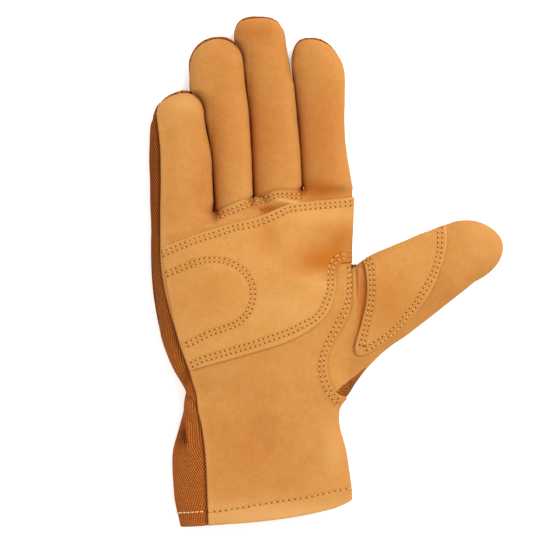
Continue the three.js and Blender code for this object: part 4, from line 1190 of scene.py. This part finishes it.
def thread_map(points, normals):
    """Cloth coordinates counted in threads, along by y and across by the run round the section: x under
    the hand, the height at its flanks, and x again, counted back from the left edge, where the canvas
    wraps over it. At the fingertips the height counts along."""
    x, y, z = points.T
    at_tip = smooth(normals[:, 1], 0.35, 0.9) * smooth(y, 45, 55)
    levels = np.linspace(y.min() + 2, LITTLE["tip"][1] - 7, 60)
    edge = np.interp(y, levels, [x[np.abs(y - level) < 2.5].min() for level in levels])
    under = -x - z * np.clip(4 * normals[:, 0], -1, 1)
    wrapped = (normals[:, 2] > 0) & (normals[:, 0] < 0.6) & (x < -50) & (y < LITTLE["tip"][1])
    across = np.where(wrapped, x + z - 2 * edge, under)
    return np.stack([across / WARP_PITCH, (y + z * at_tip) / WEFT_PITCH], -1)


CANVAS_FOLDS = [
    {"ends": (-74.5, -56.6, -70, -50), "wide": 1.4, "rise": -1.3},  # upper pinch
    {"ends": (-71.5, -61, -68.5, -56), "wide": 1.6, "rise": 0.9},  # ridge below it
    {"ends": (-73, -64.3, -67.8, -69), "wide": 1.2, "rise": -1.5},  # second pinch
    {"ends": (-72, -70.5, -67, -73), "wide": 2.6, "rise": 0.9},  # bulge
    {"ends": (-74.6, -83.5, -73.4, -88), "wide": 1.7, "rise": -2.6},  # pocket
    {"ends": (-72.3, -78, -71.2, -93), "wide": 1.2, "rise": 1.0},  # fold over the pocket
    {"ends": (-74.3, -77.5, -73.3, -82), "wide": 1.1, "rise": -1.2},  # groove above the pocket
    {"ends": (-69, -79, -66, -96), "wide": 2.2, "rise": -0.5},  # long shallow fold
]
back_columns = np.concatenate([np.linspace(-4, 0, 29)[:-1], fine_columns(0, 22, 4)])
back_points, back_quads = hand_sheet("back", back_columns, np.linspace(0, 1, 170), FINGERS, 50, 16)
back_quads = back_quads[:, ::-1]
x, y, z = back_points.T
facing = sheet_normals(back_points, back_quads)
soft = folds(back_points, "back_canvas", CANVAS_FOLDS) * smooth(facing[:, 2], 0.05, 0.5)
soft += softness(back_points, 0.12, 14, 8)
back_relief = np.where(z < 1.5, np.minimum(soft, 0), soft)
back_relief = np.where(distance_to(back_points[:, :2], crotches)[0] < CROTCH_REACH, 0, back_relief)
at_tips = smooth(facing[:, 1], 0.3, 0.9) * (y > 60)
back_relief += 0.3 * at_tips - 0.9 * smooth(facing[:, 0], 0.2, 0.8) * (1 - at_tips)
# The fingers' backs are sewn to each other at the crotch, so each reaches over the gap beside it
for finger, after in zip(FINGERS, FINGERS[1:]):
    left, right = run_through(after, "y", "left", y), run_through(finger, "y", "right", y)
    top = min(finger["tip"][1], after["y"][-1]) - 12
    beside_gap = (np.abs(x - left) < 2) & (y > after["y"][0] - 1) & (y < top)
    flank = smooth(-facing[:, 0], 0.2, 0.7) * smooth(z, 1, 3.5)
    back_relief += np.where(beside_gap, np.clip(left - right + 0.6, 0, 3) * flank, 0)
on_little = y > LITTLE_SEAM["y"][0]
seam_x = np.where(on_little, run_through(LITTLE_SEAM, "y", "x", y), run_through(HAND, "y", "seam", y))
under_leather = np.where(x > seam_x, 0.0, off_seam(back_points))
before_tip = 1 - smooth(y, LITTLE["tip"][1] - 0.9, LITTLE["tip"][1] - 0.1)
groove = 2.3 * before_tip * np.exp(-((under_leather / 2.2) ** 2))
back_relief -= np.where((z > 7) & (x < -55), groove, 0)
canvas_wall = CANVAS_WALL + HEM_TURN * (1 - smooth(off_table(back_points, HEM_LINE), *HEM_EDGE))
# Its mask of painted light paints shade in the canvas's pockets and creases at the wrist and along the little
# finger's side
wall("back_canvas", back_points, back_quads, back_relief, canvas_wall, canvas_finish, "canvas", roll=0.25,
     masks={"painted_light": painted_light_share(back_points, "back_canvas") * smooth(facing[:, 2], -0.2, 0.2)},
     uv=thread_map(back_points, facing))

# The back of the thumb is a smaller cut of the same canvas. A sliver of it shows below the thumb's
# base, where it wraps up to meet the leather.


def thumb_thread_map(points, normals):
    """The same for the thumb: along its axis, with the height counted along at the tip, and across it,
    counted back from its lower outline where the canvas wraps over it."""
    along, side = thumb_place(points[:, 0], points[:, 1])
    center, half, _, _ = thumb_section(along)
    up = points[:, 2] - lift(points[:, 0], points[:, 1])
    wrapped = (normals[:, 2] > 0) & (side < center)
    across = np.where(wrapped, 2 * (center - half) - side - up, side + up * np.sign(side - center))
    at_tip = smooth(normals[:, :2] @ np.array(THUMB_AXIS), 0.35, 0.9)
    return np.stack([across / WARP_PITCH, (along + up * at_tip) / WEFT_PITCH], -1)


thumb_back_points, thumb_back_quads = thumb_sheet("back", 60, 110, 16)
thumb_back_quads = thumb_back_quads[:, ::-1]
thumb_back_relief = np.where(thumb_back_points[:, 2] < 1.5, 0, softness(thumb_back_points, 0.1, 12, 9))
facing = sheet_normals(thumb_back_points, thumb_back_quads)
wall("thumb_back", thumb_back_points, thumb_back_quads, thumb_back_relief, CANVAS_WALL, canvas_finish,
     "canvas", roll=0.2, uv=thumb_thread_map(thumb_back_points, facing))

# Stitches of strong golden thread: each comes up from one hole, lies on the leather and goes down
# through the next. The hem's stitches turn cream where they cross the canvas.
GOLD_SIZE, CREAM_SIZE = (0.37, 0.2), (0.4, 0.25)  # radius of the thread and rise of a stitch
HOLE_SIZE = (0.52, 0.45)
HEM_ROW, HEM_STITCH = 8, 2.35


def on_skin(place, sheet):
    """Points of a sheet's outer side above places in the hand's plane, with the normals there: each
    lies on the plane that touches the sheet at its nearest point."""
    points, normals = skins[sheet]
    low, high = place.min(0) - 3, place.max(0) + 3
    near = np.flatnonzero(((points[:, :2] > low) & (points[:, :2] < high)).all(1) & (normals[:, 2] > 0.25))
    _, nearest = distance_to(place, points[near, :2])
    base, normal = points[near][nearest], normals[near][nearest]
    aside = place - base[:, :2]
    height = base[:, 2] - (aside * normal[:, :2]).sum(1) / normal[:, 2]
    return np.column_stack([place, height]), normal


def stitch_holes(sheet):
    """For each sewn line, its holes a stitch apart and the places midway between them, with the normals."""
    rows = []
    for line, pitch in sewn_lines(sheet):
        count = int(len(line) * LINE_SPACING / pitch)
        at = np.arange(2 * count + 1) * pitch / 2 / LINE_SPACING
        point, normal = on_skin(along_run(at, np.arange(len(line)), line), sheet)
        rows.append((point[::2], point[1::2], normal[::2]))
    return rows


def small_bodies(rings):
    """Points and faces of closed bodies, each a stack of rings of points with a cap at both ends."""
    count, levels, around = rings.shape[:3]
    base = (np.arange(count) * levels * around)[:, None, None]
    cell = base + np.arange(levels - 1)[None, :, None] * around
    here, after = np.arange(around), (np.arange(around) + 1) % around
    corners = [cell + here, cell + around + here, cell + around + after, cell + after]
    sides = np.stack(corners, -1).reshape(-1, 4)
    caps = np.vstack([base[:, 0] + here, base[:, 0] + (levels - 1) * around + here[::-1]])
    return rings.reshape(-1, 3), sides.tolist() + caps.tolist()


def threads(rows, radius, bow):
    """Each stitch is a tube of six sides and six spans. Its middle line is the parabola through a hole,
    the place midway raised by bow, and the next hole; its radius swells to the middle."""
    starts = np.vstack([holes[:-1] for holes, _, _ in rows])
    ends = np.vstack([holes[1:] for holes, _, _ in rows])
    midway = np.vstack([middles for _, middles, _ in rows])
    up = np.vstack([(normal[:-1] + normal[1:]) / 2 for _, _, normal in rows])
    run = ends - starts
    aside = np.cross(up, run)
    aside /= np.maximum(np.linalg.norm(aside, axis=1), 1e-9)[:, None]
    t = np.linspace(0, 1, 7)[None, :, None]
    u = mix(0.12, 0.88, t)
    middle = starts[:, None] * (1 - u) * (1 - 2 * u) + ends[:, None] * u * (2 * u - 1)
    middle = middle + (midway + bow * up)[:, None] * 4 * u * (1 - u)
    turn = np.arange(6) * np.pi / 3
    thick = radius * (0.6 + 0.4 * np.sin(np.pi * t)) + 0 * middle[..., :1]
    ring = aside[:, None, None] * np.cos(turn)[None, None, :, None]
    ring = ring + up[:, None, None] * np.sin(turn)[None, None, :, None]
    return small_bodies(middle[:, :, None] + ring * thick[:, :, None])


def thread_piece(name, bodies, material):
    """One mesh of many small bodies."""
    points, faces = bodies
    mesh = bpy.data.meshes.new(name)
    mesh.from_pydata((points * METRES).tolist(), [], faces)
    mesh.update()
    piece_of(name, mesh, material, "leather")


def thread_finish(name, light, dark):
    """Twisted thread: slanting bands of a lighter and a darker ply along each stitch."""
    material, tree, shader = shaded(name, {"Roughness": 0.55})
    place = tree.nodes.new("ShaderNodeTexCoord").outputs["Object"]
    plies = tree.nodes.new("ShaderNodeTexWave")
    plies.bands_direction = "DIAGONAL"
    plies.inputs["Scale"].default_value = 900
    plies.inputs["Distortion"].default_value = 1.5
    tree.links.new(place, plies.inputs["Vector"])
    colour = blend_colour(tree, plies.outputs["Fac"], dark, light)
    uneven = calc(tree, "MULTIPLY", noise(tree, place, 300, 2), 0.6)
    tree.links.new(blend_colour(tree, uneven, colour, dark), shader.inputs["Base Color"])
    bumped(tree, shader, plies.outputs["Fac"], 0.4, 0.00008)
    return material


gold_thread = thread_finish("gold_thread", (0.72, 0.38, 0.10), (0.50, 0.235, 0.045))
sewn_rows = [row for sheet in STITCH_ROWS for row in stitch_holes(sheet)]
thread_piece("gold_stitches", threads(sewn_rows, *GOLD_SIZE), gold_thread)

cream_thread = thread_finish("cream_thread", (0.74, 0.55, 0.31), (0.55, 0.36, 0.16))


def hem_holes(row, columns, pitch):
    """Holes a stitch apart along one row of the canvas, round the wrist from the leather's edge to the
    thumb's side, with the places midway and the normals. Under the glove they lie a little deeper."""
    outer, normals = skins["back_canvas"]
    seen = slice(row * columns + 4, (row + 1) * columns - 2)
    place, facing = outer[seen], normals[seen]
    place = place - facing * 0.35 * smooth(-facing[:, 2], 0.3, 0.9)[:, None]
    run = run_length(place)
    at = np.arange(0, run[-1], pitch / 2)
    at = at[: len(at) - 1 + len(at) % 2]
    point = along_run(at, run, place)
    return point[::2], point[1::2], along_run(at, run, facing)[::2]


hem_row = hem_holes(HEM_ROW, len(back_columns), HEM_STITCH)
thread_piece("cream_stitches", threads([hem_row], *CREAM_SIZE), cream_thread)


def punched(rows, long, wide):
    """Each needle hole is a shallow eight-sided cup whose rim stands just over the groove, drawn out
    along its row."""
    place = np.vstack([holes for holes, _, _ in rows])
    normal = np.vstack([normal for _, _, normal in rows])
    run = np.vstack([np.gradient(holes, axis=0) for holes, _, _ in rows])
    run /= np.linalg.norm(run, axis=1)[:, None]
    aside = np.cross(normal, run)
    turn = np.arange(8) * np.pi / 4
    ring = run[:, None] * (long * np.cos(turn))[None, :, None]
    ring = ring + aside[:, None] * (wide * np.sin(turn))[None, :, None]
    rim = place[:, None] + normal[:, None] * 0.2 + ring
    foot = place[:, None] - normal[:, None] * 0.25 + ring * 0.5
    return small_bodies(np.stack([rim, foot], 1))


# The cups' dark brown is painted shade inside the needle holes
hole_finish, tree, shader = shaded("needle_holes", {"Roughness": 0.95, "Specular IOR Level": 0.1})
place = tree.nodes.new("ShaderNodeTexCoord").outputs["Object"]
hole_shade = blend_colour(tree, noise(tree, place, 500, 2), (0.11, 0.028, 0.001), (0.21, 0.065, 0.004))
tree.links.new(hole_shade, shader.inputs["Base Color"])
thread_piece("needle_holes", punched(sewn_rows, *HOLE_SIZE), hole_finish)

# A plain pale floor under the glove, a large soft light over its thumb's side, a weaker one opposite,
# and the camera straight above with a long lens, as for a catalogue picture.
floor_mesh = bpy.data.meshes.new("floor")
FLOOR_HALF, FLOOR_LEVEL = 3, -0.0005
corners = [(across * FLOOR_HALF, ahead * FLOOR_HALF, FLOOR_LEVEL) for across, ahead in
           ((-1, -1), (1, -1), (1, 1), (-1, 1))]
floor_mesh.from_pydata(corners, [], [(0, 1, 2, 3)])
pale = {"Base Color": (0.93, 0.93, 0.93, 1), "Roughness": 0.9, "Emission Color": (1, 1, 1, 1),
        "Emission Strength": 0.35}
floor_mesh.materials.append(shaded("pale_floor", pale)[0])
floor = linked("floor", floor_mesh)

world = bpy.data.worlds.new("studio")
bpy.context.scene.world = world
world.use_nodes = True
sky = world.node_tree.nodes["Background"].inputs
sky["Color"].default_value = (1, 0.99, 0.97, 1)
sky["Strength"].default_value = 0.88


def soft_light(name, place, size, power):
    """A square area light aimed at the glove's middle."""
    light = bpy.data.lights.new(name, "AREA")
    light.size = size
    light.energy = power
    lamp = linked(name, light)
    lamp.location = place
    towards = -lamp.location
    lamp.rotation_mode = "QUATERNION"
    lamp.rotation_quaternion = towards.to_track_quat("-Z", "Y")


soft_light("key", (0.55, 0.60, 1.05), 0.7, 14.5)
soft_light("fill", (-0.3, -0.7, 1.3), 1.2, 3.0)

camera = linked("camera", bpy.data.cameras.new("camera"))
camera.location = (-0.0263, -0.0018, 1.2017)
camera.data.lens = 150
camera.data.sensor_width = 36
camera.data.clip_end = 20
bpy.context.scene.camera = camera
bpy.context.scene.view_settings.view_transform = "Standard"

bpy.context.view_layer.update()
